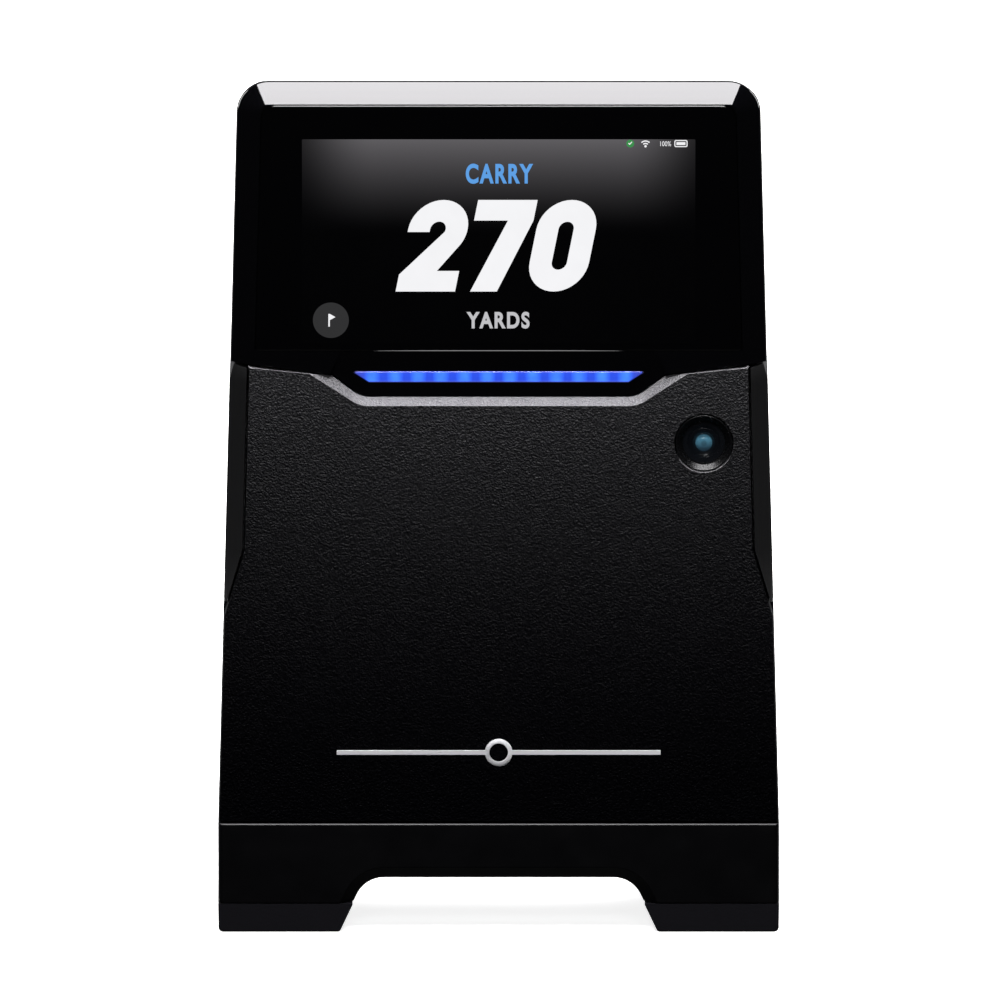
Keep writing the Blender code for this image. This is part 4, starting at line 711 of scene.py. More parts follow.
def build_base():
    """The base housing: its bay, bores, screw seats and port recess, with the bevelled arch."""
    front = [FRONT + s for s in (0.0, 0.12 * MM, 0.3 * MM, BASE_LIP, 0.8 * MM, BASE_CORNER, ARCH_BEVEL)]
    rear = [REAR - s for s in corner_steps(REAR_RADIUS, 8)]
    base = drawn("base_shell_fine", loft, [base_ring(y) for y in front + rear])

    foot_floor = BASE_FOOT + WALL + 1.0 * MM
    bay_floor = ARCH_TOP + WALL
    inner = WIDTH / 2 - WALL
    bay = ARCH_HALF + ARCH_RADIUS + WALL
    right = [(bay, bay_floor), (bay + 6 * MM, foot_floor), (inner, foot_floor), (inner, BASE_TOP + 5 * MM)]
    outline = [Vector(p) for p in right] + [Vector((-x, z)) for x, z in reversed(right)]
    carve(base, prism, outline, (FRONT + ARCH_BEVEL + WALL, REAR - PORT_RECESS - WALL - 1.0 * MM))

    carve(base, rod, (0, 0, ARCH_TOP), "z", INSERT_RADIUS + GAP, -5 * MM, WALL + 5 * MM, 64)
    for index in range(4):
        name = f"base_screw_{index + 1}"
        middle, head = round_node(name)
        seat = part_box(name)[0].z + SCREW_HEAD_THICK
        profile = [(head + GAP, BASE_FOOT - 3 * MM), (head + GAP, seat), (head / 2, seat),
                   (head / 2, seat + 9 * MM)]
        carve(base, turned, (middle.x, middle.y, 0), "z", profile, 32)

    cover_half = COVER_HIGH.x + GAP
    foot, top = COVER_LOW.z - GAP, COVER_HIGH.z + GAP
    carve(base, block, (-cover_half, REAR - PORT_RECESS, foot), (cover_half, REAR + CLEAR, top))
    low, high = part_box("usb_socket")
    carve(base, block, (low.x - GAP, REAR - 25 * MM, low.z - GAP),
          (high.x + GAP, REAR - 2 * MM, high.z + GAP))
    pin, radius = round_node("port_cover_pin", "z")
    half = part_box("port_cover_pin")[1].x + 0.5 * MM
    carve(base, rod, (0, pin.y, pin.z), "x", radius + GAP, -half, half)
    soften(base, 0.25 * MM, 2, 40)
    piece(base, "satin_black", CASING, "base_housing")


def pad_outline(low, narrow):
    """Half of a foot pad's cross-section: heel at the arch, outer side, rounded lower edges."""
    outer = WIDTH / 2 - narrow
    toe, heel = -arch(0.0, low)[0].x, -arch(0.0, PAD_TOP)[0].x
    corners = [
        (heel, PAD_TOP, 0.25 * MM),
        (outer, PAD_TOP, 0.25 * MM),
        (outer - 0.1 * MM, low, PAD_EDGE * 1.6),
        (toe - 0.1 * MM, low, PAD_EDGE),
    ]
    return rounded(corners, 5)


def pad_grooves(bm, sign, slope):
    """Cross grooves along the underside, which rises by slope behind TILT_START."""
    left, right = sign * 52 * MM - 30 * MM, sign * 75 * MM
    for index in range(GROOVE_COUNT):
        y = FRONT + 8 * MM + index * GROOVE_PITCH
        lift = max(0.0, y - TILT_START) * slope
        block(bm, (left, y, -1 * MM), (right, y + GROOVE_WIDTH, GROOVE_DEPTH + lift))


def build_pads():
    """Rubber feet with shallow cross grooves under them."""
    slope = TILT_RISE / (REAR - TILT_START)
    for name, sign in (("foot_pad_left", -1), ("foot_pad_right", 1)):
        stations = [(FRONT + 0.02 * MM, 0.5 * MM, 0.35 * MM), (FRONT + 0.2 * MM, 0.18 * MM, 0.12 * MM)]
        stations += [(FRONT + 0.7 * MM, 0.0, 0.0), (TILT_START, 0.0, 0.0)]
        for step in corner_steps(REAR_RADIUS, 7)[:-1]:
            y = REAR - step - 0.02 * MM
            stations.append((y, (y - TILT_START) * slope, corner_step(step, REAR_RADIUS)))
        rings = [[(sign * p.x, y, p.y) for p in pad_outline(low, narrow)] for y, low, narrow in stations]
        pad = drawn(name + "_fine", loft, rings)
        carve(pad, pad_grooves, sign, slope)
        piece(pad, "rubber_black", CASING, name)


# ---------------------------------------------------------------- lower body
def body_section(z, margin):
    """The body seen from above at height z, moved in by margin: square front, round rear corners."""
    half = side(z) - margin - (0.0 if margin else shoulder(z))
    radius = REAR_RADIUS - margin
    rear = BODY_REAR - margin
    front = WALL_FRONT if margin == 0 else WALL_BACK
    corners = [(-half, front, 0), (half, front, 0), (half, rear, radius), (-half, rear, radius)]
    return rounded(corners)


def grip_section(z, clearance):
    """The right grip seen from above. With clearance it becomes the shape that is cut for it."""
    half, width = side(z), facet(z)
    inner = half - WALL - clearance
    heel = GRIP_HIGH.y + clearance
    nose = half - width - clearance
    if clearance:
        out, ahead = half + 5 * MM, FRONT - 6 * MM
        outer = [(nose, ahead), (out, ahead), (out, heel)]
    else:
        out = half - shoulder(z)
        outer = [(nose, PANEL_FRONT), (out, PANEL_FRONT + FACET_DEPTH), (out, heel)]
    return outer + [(inner, heel), (inner, WALL_BACK + 6 * MM), (nose, WALL_BACK + 1.0 * MM)]


def grip_levels(clearance):
    """The heights at which the grip, or the shape cut for it, has its sections."""
    if clearance:
        return [GRIP_LOW.z - clearance, FACET_FULL, BODY_TOP + 10 * MM]
    return [GRIP_LOW.z, FACET_FULL, BODY_TOP - SHOULDER_DROP, GRIP_HIGH.z]


def build_grips():
    """The side grips, their slanting front facets running out downwards."""
    for name, sign in (("side_grip_left", -1), ("side_grip_right", 1)):
        grip = drawn(name + "_fine", loft, [[(sign * x, y, z) for x, y in grip_section(z, 0.0)]
                                            for z in grip_levels(0.0)])
        soften(grip, 0.35 * MM, 3, 20)
        piece(grip, "soft_black", CASING, name)


def build_body_shell():
    """The thin shell behind the panel, with what is cut through its walls."""
    outer = [at_height(body_section(z, 0.0), z) for z in (BODY_FOOT, BODY_TOP - SHOULDER_DROP, BODY_TOP)]
    inner = [at_height(body_section(z, WALL), z) for z in (BODY_TOP, BODY_FOOT)]
    shell = drawn("body_shell_fine", loft, outer + inner, closed=True)
    for sign in (-1, 1):
        carve(shell, loft, [[(sign * x, y, z) for x, y in grip_section(z, GAP)] for z in grip_levels(GAP)])

    ahead, behind = WALL_FRONT - 3 * MM, WALL_BACK + 3 * MM
    low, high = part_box("radar_board")
    window = 2.0 * MM
    carve(shell, block, (low.x - window, ahead, low.z - window), (high.x + window, behind, high.z + window))
    carve(shell, rod, (CAMERA.x, 0, CAMERA.z), "y", CAMERA_RADIUS + GAP, ahead, behind, 64)
    chin = bezel_outline(-1.0 * MM, 0.0, -0.45 * MM)
    carve(shell, prism, chin, (ahead, behind))

    carve(shell, block, (TRAY_LOW.x - GAP, BODY_REAR - 10 * MM, TRAY_LOW.z - GAP),
          (TRAY_HIGH.x + GAP, BODY_REAR + CLEAR, TRAY_HIGH.z + GAP))
    outside, inside = BODY_REAR + CLEAR, BODY_REAR - WALL - 4 * MM
    for name in ("power_button", "status_light_pipe"):
        middle, radius = round_node(name)
        radius = BUTTON_RADIUS if name == "power_button" else radius
        carve(shell, rod, (middle.x, 0, middle.z), "y", radius + GAP, inside, outside, 64)
    for index in range(4):
        name = f"rear_screw_{index + 1}"
        middle, head = round_node(name)
        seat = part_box(name)[1].y - SCREW_HEAD_THICK - GAP
        profile = [(head + GAP, outside), (head + GAP, seat), (head / 2 + GAP, seat),
                   (head / 2 + GAP, inside)]
        carve(shell, turned, (middle.x, 0, middle.z), "y", profile, 48)
    soften(shell, 0.3 * MM, 3, 40)
    piece(shell, "satin_black", CASING, "body_shell")


def ledge_outline(share):
    """The front panel seen from the front. 0 is the outline at the chin, 1 the proud face."""
    edge = PANEL_EDGE * share
    foot = BODY_FOOT + edge
    run_out = FACET_FOOT - 1.1 * MM
    high = BODY_TOP - edge
    knee_half = CHIN_KNEE_HALF + (LEDGE_KNEE_HALF - CHIN_KNEE_HALF) * share
    knee_z = SEAM - CHIN_KNEE_DROP + (CHIN_KNEE_DROP - LEDGE_KNEE_DROP) * share
    right = [
        (side(foot) - edge, foot, 0),
        (side(run_out) - edge, run_out, 0),
        (side(FACET_FULL) - facet(FACET_FULL) - GAP - edge, FACET_FULL, 0),
        (side(high) - facet(high) - GAP - edge, high, 0),
        (knee_half, knee_z, 1.5 * MM),
        (CHIN_HALF + LEDGE_SPREAD * share, CHIN_Z - LEDGE_WIDTH * share, CHIN_RADIUS),
    ]
    return mirrored(right)


def build_front_panel():
    """The grained panel with its ledge round the chin, camera hole and badge grooves."""
    ledge_y = PANEL_FRONT + LEDGE_DEPTH
    corners = [(0, PANEL_BACK, 0), (0, ledge_y, 0.5 * MM), (LEDGE_WIDTH, PANEL_FRONT, 0.35 * MM)]
    corners += [(LEDGE_WIDTH * 1.25, PANEL_FRONT, 0)]
    profile = [p for p in rounded(corners, 5) if p.x <= LEDGE_WIDTH]
    rings = [at_depth(ledge_outline(p.x / LEDGE_WIDTH), p.y) for p in profile]
    panel = drawn("front_panel_fine", loft, rings + [at_depth(ledge_outline(1.0), PANEL_FRONT)])
    hole = CAMERA_RADIUS + GAP
    profile = [(hole + 0.6 * MM, PANEL_FRONT - 0.5 * MM), (hole, PANEL_FRONT + 0.25 * MM),
               (hole, PANEL_BACK + 3 * MM)]
    carve(panel, turned, (CAMERA.x, 0, CAMERA.z), "y", profile)
    for draw in (badge_ring, badge_bar):
        carve(panel, draw, GAP / 2, PANEL_FRONT - 3 * MM, BADGE_HIGH.y + GAP)
    piece(panel, "textured_black", CASING, "front_panel")


def badge_ring(bm, grown, front, back):
    """The badge's ring, or the groove for it when grown."""
    outer, inner = BADGE_RING + grown, BADGE_RING - BADGE_LINE - grown
    profile = [(outer, front), (outer, back), (inner, back), (inner, front)]
    turned(bm, (0, 0, BADGE_Z), "y", profile, 64, hollow=True)


def badge_bar(bm, grown, front, back, signs=(-1, 1)):
    """The badge's bars to the left and right, or their grooves when grown."""
    line = BADGE_LINE / 2 + grown
    for sign in signs:
        start, end = sorted((sign * (BADGE_RING - BADGE_LINE / 2), sign * (BADGE_HALF + grown)))
        block(bm, (start, front, BADGE_Z - line), (end, back, BADGE_Z + line))


def build_badge():
    """A ring between two bars."""
    badge = drawn("badge_fine", badge_ring, 0.0, BADGE_LOW.y, BADGE_HIGH.y)
    for sign in (-1, 1):
        carve(badge, badge_bar, 0.0, BADGE_LOW.y, BADGE_HIGH.y, (sign,), operation="UNION")
    soften(badge, 0.12 * MM, 2, 40)
    piece(badge, "badge_silver", CASING, "badge")


# ---------------------------------------------------------------- head
def bezel_outline(margin, drop, foot_margin=0.0, steps=FINE):
    """The head seen from the front: round top corners, and the chin that fills the panel's notch."""
    foot = HEAD_FOOT + foot_margin
    top = HEIGHT - margin * TOP_BEVEL / HEAD_BEVEL - drop
    radius = max(1.0 * MM, HEAD_RADIUS - margin)
    step = HEAD_STEP + margin
    knee = (CHIN_KNEE_HALF - 0.5 * MM - foot_margin * 0.5, SEAM - CHIN_KNEE_DROP + 0.5 * MM + foot_margin)
    chin = (CHIN_HALF - 0.3 * MM - foot_margin * 0.5, CHIN_Z + 0.4 * MM + foot_margin)
    right = [(*chin, CHIN_RADIUS), (*knee, 1.2 * MM), (side(foot) - step, foot, 0),
             (side(top) - step, top, radius)]
    return mirrored(right, steps)


def glass_outline(grown):
    """The cover glass seen from the front."""
    margin = HEAD_BEVEL + GLASS_BORDER - grown
    top, foot = GLASS_HIGH.z + grown + 0.3 * MM, CREASE_Z - grown
    radius = HEAD_RADIUS - HEAD_BEVEL + 1.6 * MM
    step = HEAD_STEP + margin
    right = [(side(foot) - step, foot, 1.0 * MM), (side(top) - step, top, radius)]
    return mirrored(right)


def bar_outline(grown):
    """The light bar seen from the front: a trapezoid, wider at the top."""
    foot, top = BAR_LOW.z - grown, BAR_HIGH.z + grown
    slope = (BAR_HIGH.x - BAR_FOOT_HALF) / (BAR_HIGH.z - BAR_LOW.z)
    across = math.hypot(1.0, slope)
    low_half = BAR_FOOT_HALF + grown * (across - slope)
    high_half = BAR_HIGH.x + grown * (across + slope)
    right = [(low_half, foot, 0.5 * MM), (high_half, top, 0.25 * MM)]
    return mirrored(right, 4)


def scoop_y(z):
    """Depth of the chin's sloping face at height z."""
    return HEAD_FRONT + SCOOP_DEPTH * (CREASE_Z - z) / (CREASE_Z - CHIN_Z)


def bezel_profile():
    """(margin, depth) from the front rim over the bevel to the rear edge of the frame."""
    back = BEZEL_BACK - HEAD_FRONT
    corners = [
        (HEAD_BEVEL * 1.1, 0, 0),
        (HEAD_BEVEL * 0.985, 0, 0.3 * MM),
        (0, HEAD_BEVEL * 0.98, 2.2 * MM),
        (0, back, 0),
    ]
    points = rounded(corners, 8)
    crown = 0.10 * MM
    middle = (points[9] + points[10]) / 2 + Vector((-crown, -crown))
    return points[1:10] + [middle] + points[10:]


def build_head_bezel():
    """The gloss frame: bevelled rim, hollow, glass and display openings, sloping chin."""
    back_drop = (BEZEL_BACK - HEAD_FRONT - HEAD_BEVEL) * math.tan(ROOF_SLOPE)
    start = HEAD_BEVEL + 0.8 * MM
    rings = []
    for p in bezel_profile():
        drop = back_drop * max(0.0, p.y - start) / (BEZEL_BACK - HEAD_FRONT - start)
        rings.append(at_depth(bezel_outline(p.x, drop), HEAD_FRONT + p.y))
    bezel = drawn("head_bezel_fine", loft, rings)

    deep = WALL + HEAD_BEVEL - BEZEL_PLATE + 0.6 * MM
    rings = [
        at_depth(bezel_outline(deep, 0.0, CHIN_WALL, 4), PLATE_BACK),
        at_depth(bezel_outline(WALL, 0.0, CHIN_WALL, 4), HEAD_FRONT + HEAD_BEVEL + 1.0 * MM),
        at_depth(bezel_outline(WALL, back_drop, CHIN_WALL, 4), BEZEL_BACK),
        at_depth(bezel_outline(WALL, back_drop + 1.0 * MM, CHIN_WALL, 4), BEZEL_BACK + 6 * MM),
    ]
    carve(bezel, loft, rings)
    carve(bezel, prism, glass_outline(0.12 * MM), (FRONT - CLEAR, GLASS_BACK))
    carve(bezel, block, (OLED_LOW.x - GAP, FRONT - CLEAR, OLED_LOW.z - GAP),
          (OLED_HIGH.x + GAP, PLATE_BACK + 2 * MM, OLED_HIGH.z + GAP))

    top, foot = CREASE_Z, CHIN_Z - 3 * MM
    inner, outer = CHIN_KNEE_HALF - SCOOP_SPREAD, CHIN_KNEE_HALF + SCOOP_SPREAD
    upper = [(-inner, HEAD_FRONT, top), (inner, HEAD_FRONT, top)]
    upper += [(outer, HEAD_FRONT - 8 * MM, top), (-outer, HEAD_FRONT - 8 * MM, top)]
    wide = outer + SCOOP_SPREAD
    lower = [(-outer, scoop_y(foot), foot), (outer, scoop_y(foot), foot)]
    lower += [(wide, HEAD_FRONT - 8 * MM, foot), (-wide, HEAD_FRONT - 8 * MM, foot)]
    carve(bezel, loft, [upper, lower])
    carve(bezel, prism, bar_outline(0.15 * MM), (FRONT - CLEAR, PLATE_BACK + 3 * MM))
    piece(bezel, "gloss_black", CASING, "head_bezel", smooth=25)


def build_glass():
    """The cover glass, its front edge rounded over."""
    radius = 0.5 * MM
    rings = []
    for step in range(5):
        angle = math.pi / 2 * step / 4
        inward = radius * (1 - math.sin(angle))
        rings.append(at_depth(glass_outline(-inward), HEAD_FRONT + radius * (1 - math.cos(angle))))
    rings.append(at_depth(glass_outline(0.0), GLASS_HIGH.y))
    piece(drawn("display_glass_fine", loft, rings), "cover_glass", CASING, "display_glass")


def build_crease_lip():
    """A fine rounded lip along the crease below the glass, running out at both ends."""
    half, count = 37.0 * MM, 24
    rings = []
    for index in range(count + 1):
        t = 2 * index / count - 1
        size = 0.16 * MM * math.sqrt(max(0.0, 1 - t**4)) + 0.01 * MM
        turns = [2 * math.pi * k / 10 for k in range(10)]
        rings.append([(half * t, HEAD_FRONT + 0.02 * MM + size * math.cos(a), CREASE_Z + size * math.sin(a))
                      for a in turns])
    piece(drawn("crease_lip", loft, rings), "gloss_black", CASING)


def build_light_bar():
    """The diffuser: it follows the sloping chin, with a softened front edge."""
    outline = bar_outline(0.0)
    inner = bar_outline(-0.25 * MM)
    front = [(p.x, scoop_y(p.y) - 0.2 * MM, p.y) for p in inner]
    edge = [(p.x, scoop_y(p.y) + 0.02 * MM, p.y) for p in outline]
    piece(drawn("light_bar_fine", loft, [front, edge, at_depth(outline, BAR_HIGH.y)]), "light_blue", CASING,
          "light_bar", smooth=50)


def head_shell_ring(y, margin, foot, steps=FINE):
    """The rear shell at depth y, leaning forward towards the back, with round rear edges."""
    rear = BODY_REAR - HEAD_STEP
    curl = corner_step(rear - y, REAR_RADIUS)
    drop = (y - HEAD_FRONT - HEAD_BEVEL) * math.tan(ROOF_SLOPE)
    shell_front = HEAD_LOW.y
    lean = (y - shell_front) / (BODY_REAR - shell_front) * math.tan(HEAD_REAR_SLOPE)
    inset = margin + curl
    top = HEIGHT - inset - drop + curl * 0.3
    radius = max(1.0 * MM, HEAD_RADIUS - inset)
    step = HEAD_STEP + inset
    right = [(side(foot) - step, foot, 0), (side(top) - step, top, radius)]
    outline = mirrored(right, steps)
    return [(p.x, y - lean * (p.y - HEAD_FOOT), p.y) for p in outline]


def build_head_shell():
    """The gloss shell behind the display frame."""
    rear = BODY_REAR - HEAD_STEP
    depths = [HEAD_LOW.y] + [rear - s for s in corner_steps(REAR_RADIUS, 8)]
    shell = drawn("head_rear_shell_fine", loft, [head_shell_ring(y, 0.0, HEAD_FOOT) for y in depths])
    depths = [HEAD_LOW.y - 5 * MM, rear - REAR_RADIUS, rear - WALL - 2.4 * MM, rear - WALL]
    carve(shell, loft, [head_shell_ring(y, WALL, HEAD_FOOT - 4 * MM, 4) for y in depths])
    soften(shell, 0.3 * MM, 3, 50)
    piece(shell, "gloss_black", CASING, "head_rear_shell")


# ---------------------------------------------------------------- what the display shows
def sheet(name, material, draw, *shape):
    """Finishes one part of what the display shows."""
    return piece(drawn(name, draw, *shape), material, CASING, slot="screen_black")


def flat_shape(bm, loops, front, thick=0.03 * MM):
    """A thin plate with the outline of the first loop; the others are holes in it."""
    back = front + thick
    edges = []
    for loop in loops:
        verts = [bm.verts.new((p.x, back, p.y)) for p in loop]
        edges += [bm.edges.new((a, b)) for a, b in zip(verts, verts[1:] + verts[:1])]
    filled = bmesh.ops.triangle_fill(bm, use_beauty=True, use_dissolve=False, edges=edges)
    faces = [f for f in filled["geom"] if isinstance(f, bmesh.types.BMFace)]
    grown = bmesh.ops.extrude_face_region(bm, geom=faces)
    moved = [v for v in grown["geom"] if isinstance(v, bmesh.types.BMVert)]
    bmesh.ops.translate(bm, vec=(0, front - back, 0), verts=moved)


def arc(centre, radius, start, end, steps=20):
    """Points along an arc, angles in degrees."""
    turns = [math.radians(start + (end - start) * i / steps) for i in range(steps + 1)]
    return [Vector((centre[0] + radius * math.cos(a), centre[1] + radius * math.sin(a))) for a in turns]


def digit_two(w, t):
    """The figure 2, one high, w wide, with strokes t thick."""
    r = w / 2
    top = (r, 1 - r)
    outer = [Vector((0, 0)), Vector((w, 0)), Vector((w, t)), Vector((0.40, t))]
    outer += arc((r * 0.94, 1 - r), r * 1.06, -28, 0, 6)[:-1] + arc(top, r, 0, 180)
    outer += [Vector((0, 1 - r - 0.03)), Vector((t * 1.05, 1 - r - 0.03))]
    outer += arc(top, r - t * 1.05, 180, -20, 16) + [Vector((0, t * 0.82))]
    return [outer]


def digit_seven(w, t):
    """The figure 7, one high, w wide, with strokes t thick."""
    corners = [(0, 1), (w, 1), (w, 1 - t), (0.40, 0), (0.40 - t * 1.28, 0), (w - t * 1.22, 1 - t), (0, 1 - t)]
    return [[Vector(c) for c in corners]]


def digit_zero(w, t):
    """The figure 0 and its hole, one high, w wide, with strokes t thick."""
    r = w / 2
    outer = arc((r, 1 - r), r, 0, 180) + arc((r, r), r, 180, 360)
    hole = r - t * 1.06
    inner = arc((r, 1 - r), hole, 0, 180) + arc((r, r), hole, 180, 360)
    return [outer, inner]


def build_number():
    """The reading, in heavy slanted figures."""
    height, slant, gap = 27.4 * MM, 0.20, 0.05
    wide, stroke = 0.64, 0.225
    foot = READING_FOOT
    span = 3 * wide + 2 * gap + slant
    for index, draw in enumerate((digit_two, digit_seven, digit_zero)):
        start = index * (wide + gap) - span / 2
        loops = []
        for loop in draw(wide, stroke):
            points = [Vector((start + p.x + slant * p.y, p.y)) * height for p in loop]
            loops.append([p + Vector((0, foot)) for p in points])
        sheet(f"reading_figure_{index + 1}", "glow_white", flat_shape, loops, SCREEN_FRONT - 0.04 * MM)


def outline_at(spot, points):
    """An outline given in millimetres from a spot on the display."""
    return [Vector((spot[0] + x * MM, spot[1] + z * MM)) for x, z in points]


def frame_at(low, high, inward, radius, steps):
    """A round-cornered rectangle between two corners, drawn in by inward."""
    left, foot, right, top = low[0] + inward, low[1] + inward, high[0] - inward, high[1] - inward
    return rounded([(x, z, radius) for x, z in ((left, foot), (right, foot), (right, top), (left, top))],
                   steps)


def label(name, text, cap_height, middle, foot, material, bold, squeeze=0.8, spacing=1.2):
    """A short printed word or number of capital height cap_height, centred on middle."""
    data = bpy.data.curves.new(name, "FONT")
    data.body = text
    data.size = cap_height / CAP_SHARE
    data.offset = bold * cap_height
    data.space_character = spacing
    data.align_x = "CENTER"
    data.fill_mode = "FRONT"
    data.extrude = 0.0
    obj = bpy.data.objects.new(name, data)
    bpy.context.scene.collection.objects.link(obj)
    bpy.context.view_layer.update()
    mesh = bpy.data.meshes.new_from_object(obj.evaluated_get(bpy.context.evaluated_depsgraph_get()))
    bpy.data.objects.remove(obj, do_unlink=True)
    bm = bmesh.new()
    bm.from_mesh(mesh)
    bmesh.ops.remove_doubles(bm, verts=bm.verts, dist=0.002 * MM)
    turn = Matrix.Rotation(math.pi / 2, 4, "X")
    spot = Matrix.Translation((middle, SCREEN_FRONT - 0.03 * MM, foot))
    bmesh.ops.transform(bm, matrix=spot @ turn @ Matrix.Diagonal((squeeze, 1, 1, 1)), verts=bm.verts)
    grown = bmesh.ops.extrude_face_region(bm, geom=list(bm.faces))
    moved = [v for v in grown["geom"] if isinstance(v, bmesh.types.BMVert)]
    bmesh.ops.translate(bm, vec=(0, -0.02 * MM, 0), verts=moved)
    return piece(solid(name, bm), material, CASING, slot="screen_black")


def build_screen():
    """The lit backdrop, the reading, its two captions and the signs."""
    outline = mirrored([(SCREEN_HALF, SCREEN_LOW, 0.3 * MM), (SCREEN_HALF, SCREEN_HIGH, 0.3 * MM)], 3)
    sheet("display_backdrop", "screen_black", prism, outline, (SCREEN_FRONT, SCREEN_FRONT + 0.05 * MM))
    build_number()
    label("caption_upper", "CARRY", 5.6 * MM, 0.0, SCREEN_HIGH - 12.9 * MM, "glow_blue", 0.05, 0.70)
    label("caption_lower", "YARDS", 4.7 * MM, 0.0, SCREEN_LOW + 4.8 * MM, "glow_soft", 0.05, 0.80)
    build_icons()


def build_icons():
    """Small generic signs: ready, radio, battery and flag."""
    row = SCREEN_HIGH - 1.25 * MM
    front = SCREEN_FRONT - 0.02 * MM
    above = SCREEN_FRONT - 0.04 * MM
    x = SCREEN_HALF - 19.2 * MM
    sheet("icon_ready_disc", "glow_green", flat_shape, [arc((x, row), 1.15 * MM, 0, 345, 23)], front)
    tick = [(-0.62, 0.05), (-0.2, -0.42), (0.62, 0.42), (0.42, 0.6), (-0.2, -0.02), (-0.42, 0.25)]
    sheet("icon_ready_tick", "glow_white", flat_shape, [outline_at((x, row), tick)], above)

    x = SCREEN_HALF - 14.7 * MM
    foot = row - 0.9 * MM
    line = 0.36 * MM
    waves = [arc((x, foot + 0.1 * MM), line, 0, 330, 11)]
    for radius in (1.12 * MM, 1.85 * MM):
        waves.append(arc((x, foot), radius, 45, 135, 12) + arc((x, foot), radius - line, 135, 45, 12))
    for index, wave in enumerate(waves):
        sheet(f"icon_radio_{index + 1}", "glow_white", flat_shape, [wave], front)

    label("battery_share", "100%", 1.5 * MM, SCREEN_HALF - 8.9 * MM, row - 0.75 * MM, "glow_white", 0.0,
          0.78, 1.0)
    low, high = (SCREEN_HALF - 6.2 * MM, row - 1.05 * MM), (SCREEN_HALF - 2.3 * MM, row + 1.05 * MM)
    case = [frame_at(low, high, 0.0, 0.5 * MM, 5), frame_at(low, high, 0.3 * MM, 0.25 * MM, 4)]
    sheet("icon_battery_case", "glow_white", flat_shape, case, front)
    pad = 0.62 * MM
    low, high = (low[0] + pad, front, low[1] + pad), (high[0] - pad, front + 0.03 * MM, high[1] - pad)
    sheet("icon_battery_charge", "glow_white", block, low, high)

    spot = (-SCREEN_HALF + 8.5 * MM, SCREEN_LOW + 7.0 * MM)
    sheet("icon_mode_disc", "glow_disc", flat_shape, [arc(spot, 5.3 * MM, 0, 354, 59)], front)
    flag = [(-0.75, -1.9), (-0.3, -1.9), (-0.3, 0.05), (1.35, 0.95), (-0.3, 1.9), (-0.75, 1.9)]
    sheet("icon_mode_flag", "glow_white", flat_shape, [outline_at(spot, flag)], above)


# ---------------------------------------------------------------- camera
def build_camera():
    """The cone round the window, the window, the domed lens and its barrel."""
    lip = CAMERA_WINDOW - 1.4 * MM
    mouth, throat = CAMERA_RADIUS - 0.3 * MM, CAMERA_WINDOW + GAP
    front = PANEL_FRONT + 0.02 * MM
    rim = rounded([
        (CAMERA_RADIUS, CAMERA_HIGH.y, 0),
        (CAMERA_RADIUS, front, 0.1 * MM),
        (mouth, front, 0.12 * MM),
        (throat, front + mouth - throat, 0.12 * MM),
        (throat, CAMERA_SEAT, 0),
        (lip, CAMERA_SEAT, 0),
        (lip, CAMERA_HIGH.y, 0),
    ], 5)
    piece(drawn("camera_bezel_fine", turned, (CAMERA.x, 0, CAMERA.z), "y", rim, hollow=True), "camera_cone",
          CASING, "camera_bezel", slot="gloss_black")

    low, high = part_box("camera_window")
    edge = 0.15 * MM
    profile = [(CAMERA_WINDOW - edge, low.y), (CAMERA_WINDOW, low.y + edge)]
    profile += [(CAMERA_WINDOW, high.y - edge), (CAMERA_WINDOW - edge, high.y)]
    piece(drawn("camera_window_fine", turned, (CAMERA.x, 0, CAMERA.z), "y", profile), "clear_window", CASING,
          "camera_window")

    radius = round_node("camera_lens")[1]
    bulge = 1.1 * MM
    turns = [math.radians(88 - 88 * i / 14) for i in range(15)]
    dome = [(radius * math.cos(a), LENS_LOW.y + bulge * (1 - math.sin(a))) for a in turns]
    piece(drawn("camera_lens_fine", turned, (LENS.x, 0, LENS.z), "y", [*dome, (radius, LENS_HIGH.y)], 64),
          "lens_glass", CASING, "camera_lens")

    low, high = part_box("camera_barrel")
    outer = (high.x - low.x) / 2
    bore = radius + 0.1 * MM
    corners = [
        (outer, high.y, 0),
        (outer, low.y, 0.3 * MM),
        (bore + 1.1 * MM, low.y, 0.1 * MM),
        (bore + 1.1 * MM, low.y + 0.4 * MM, 0.05 * MM),
        (bore + 0.8 * MM, low.y + 0.4 * MM, 0.1 * MM),
        (bore, low.y + 1.2 * MM, 0.1 * MM),
        (bore, high.y - 1.0 * MM, 0),
        (bore * 0.5, high.y - 1.0 * MM, 0),
        (bore * 0.5, high.y, 0),
    ]
    piece(drawn("camera_barrel_fine", turned, (LENS.x, 0, LENS.z), "y", rounded(corners, 3), 64,
                hollow=True), "barrel_black", CASING, "camera_barrel", slot="chip_black")


# ---------------------------------------------------------------- back
def build_screws():
    """Rear screws with a chamfered head and a six-sided socket."""
    for index in range(4):
        name = f"rear_screw_{index + 1}"
        low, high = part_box(name)
        middle, head = round_node(name)
        spot = (middle.x, 0, middle.z)
        profile = [
            (head - 0.35 * MM, high.y),
            (head, high.y - 0.3 * MM),
            (head, high.y - SCREW_HEAD_THICK),
            (1.4 * MM, high.y - SCREW_HEAD_THICK),
            (1.4 * MM, low.y),
        ]
        screw = drawn(name + "_fine", turned, spot, "y", profile, 48)
        carve(screw, rod, spot, "y", 1.25 * MM, high.y - 0.95 * MM, high.y + 1 * MM, 6)
        piece(screw, "screw_black", CASING, name, smooth=30)


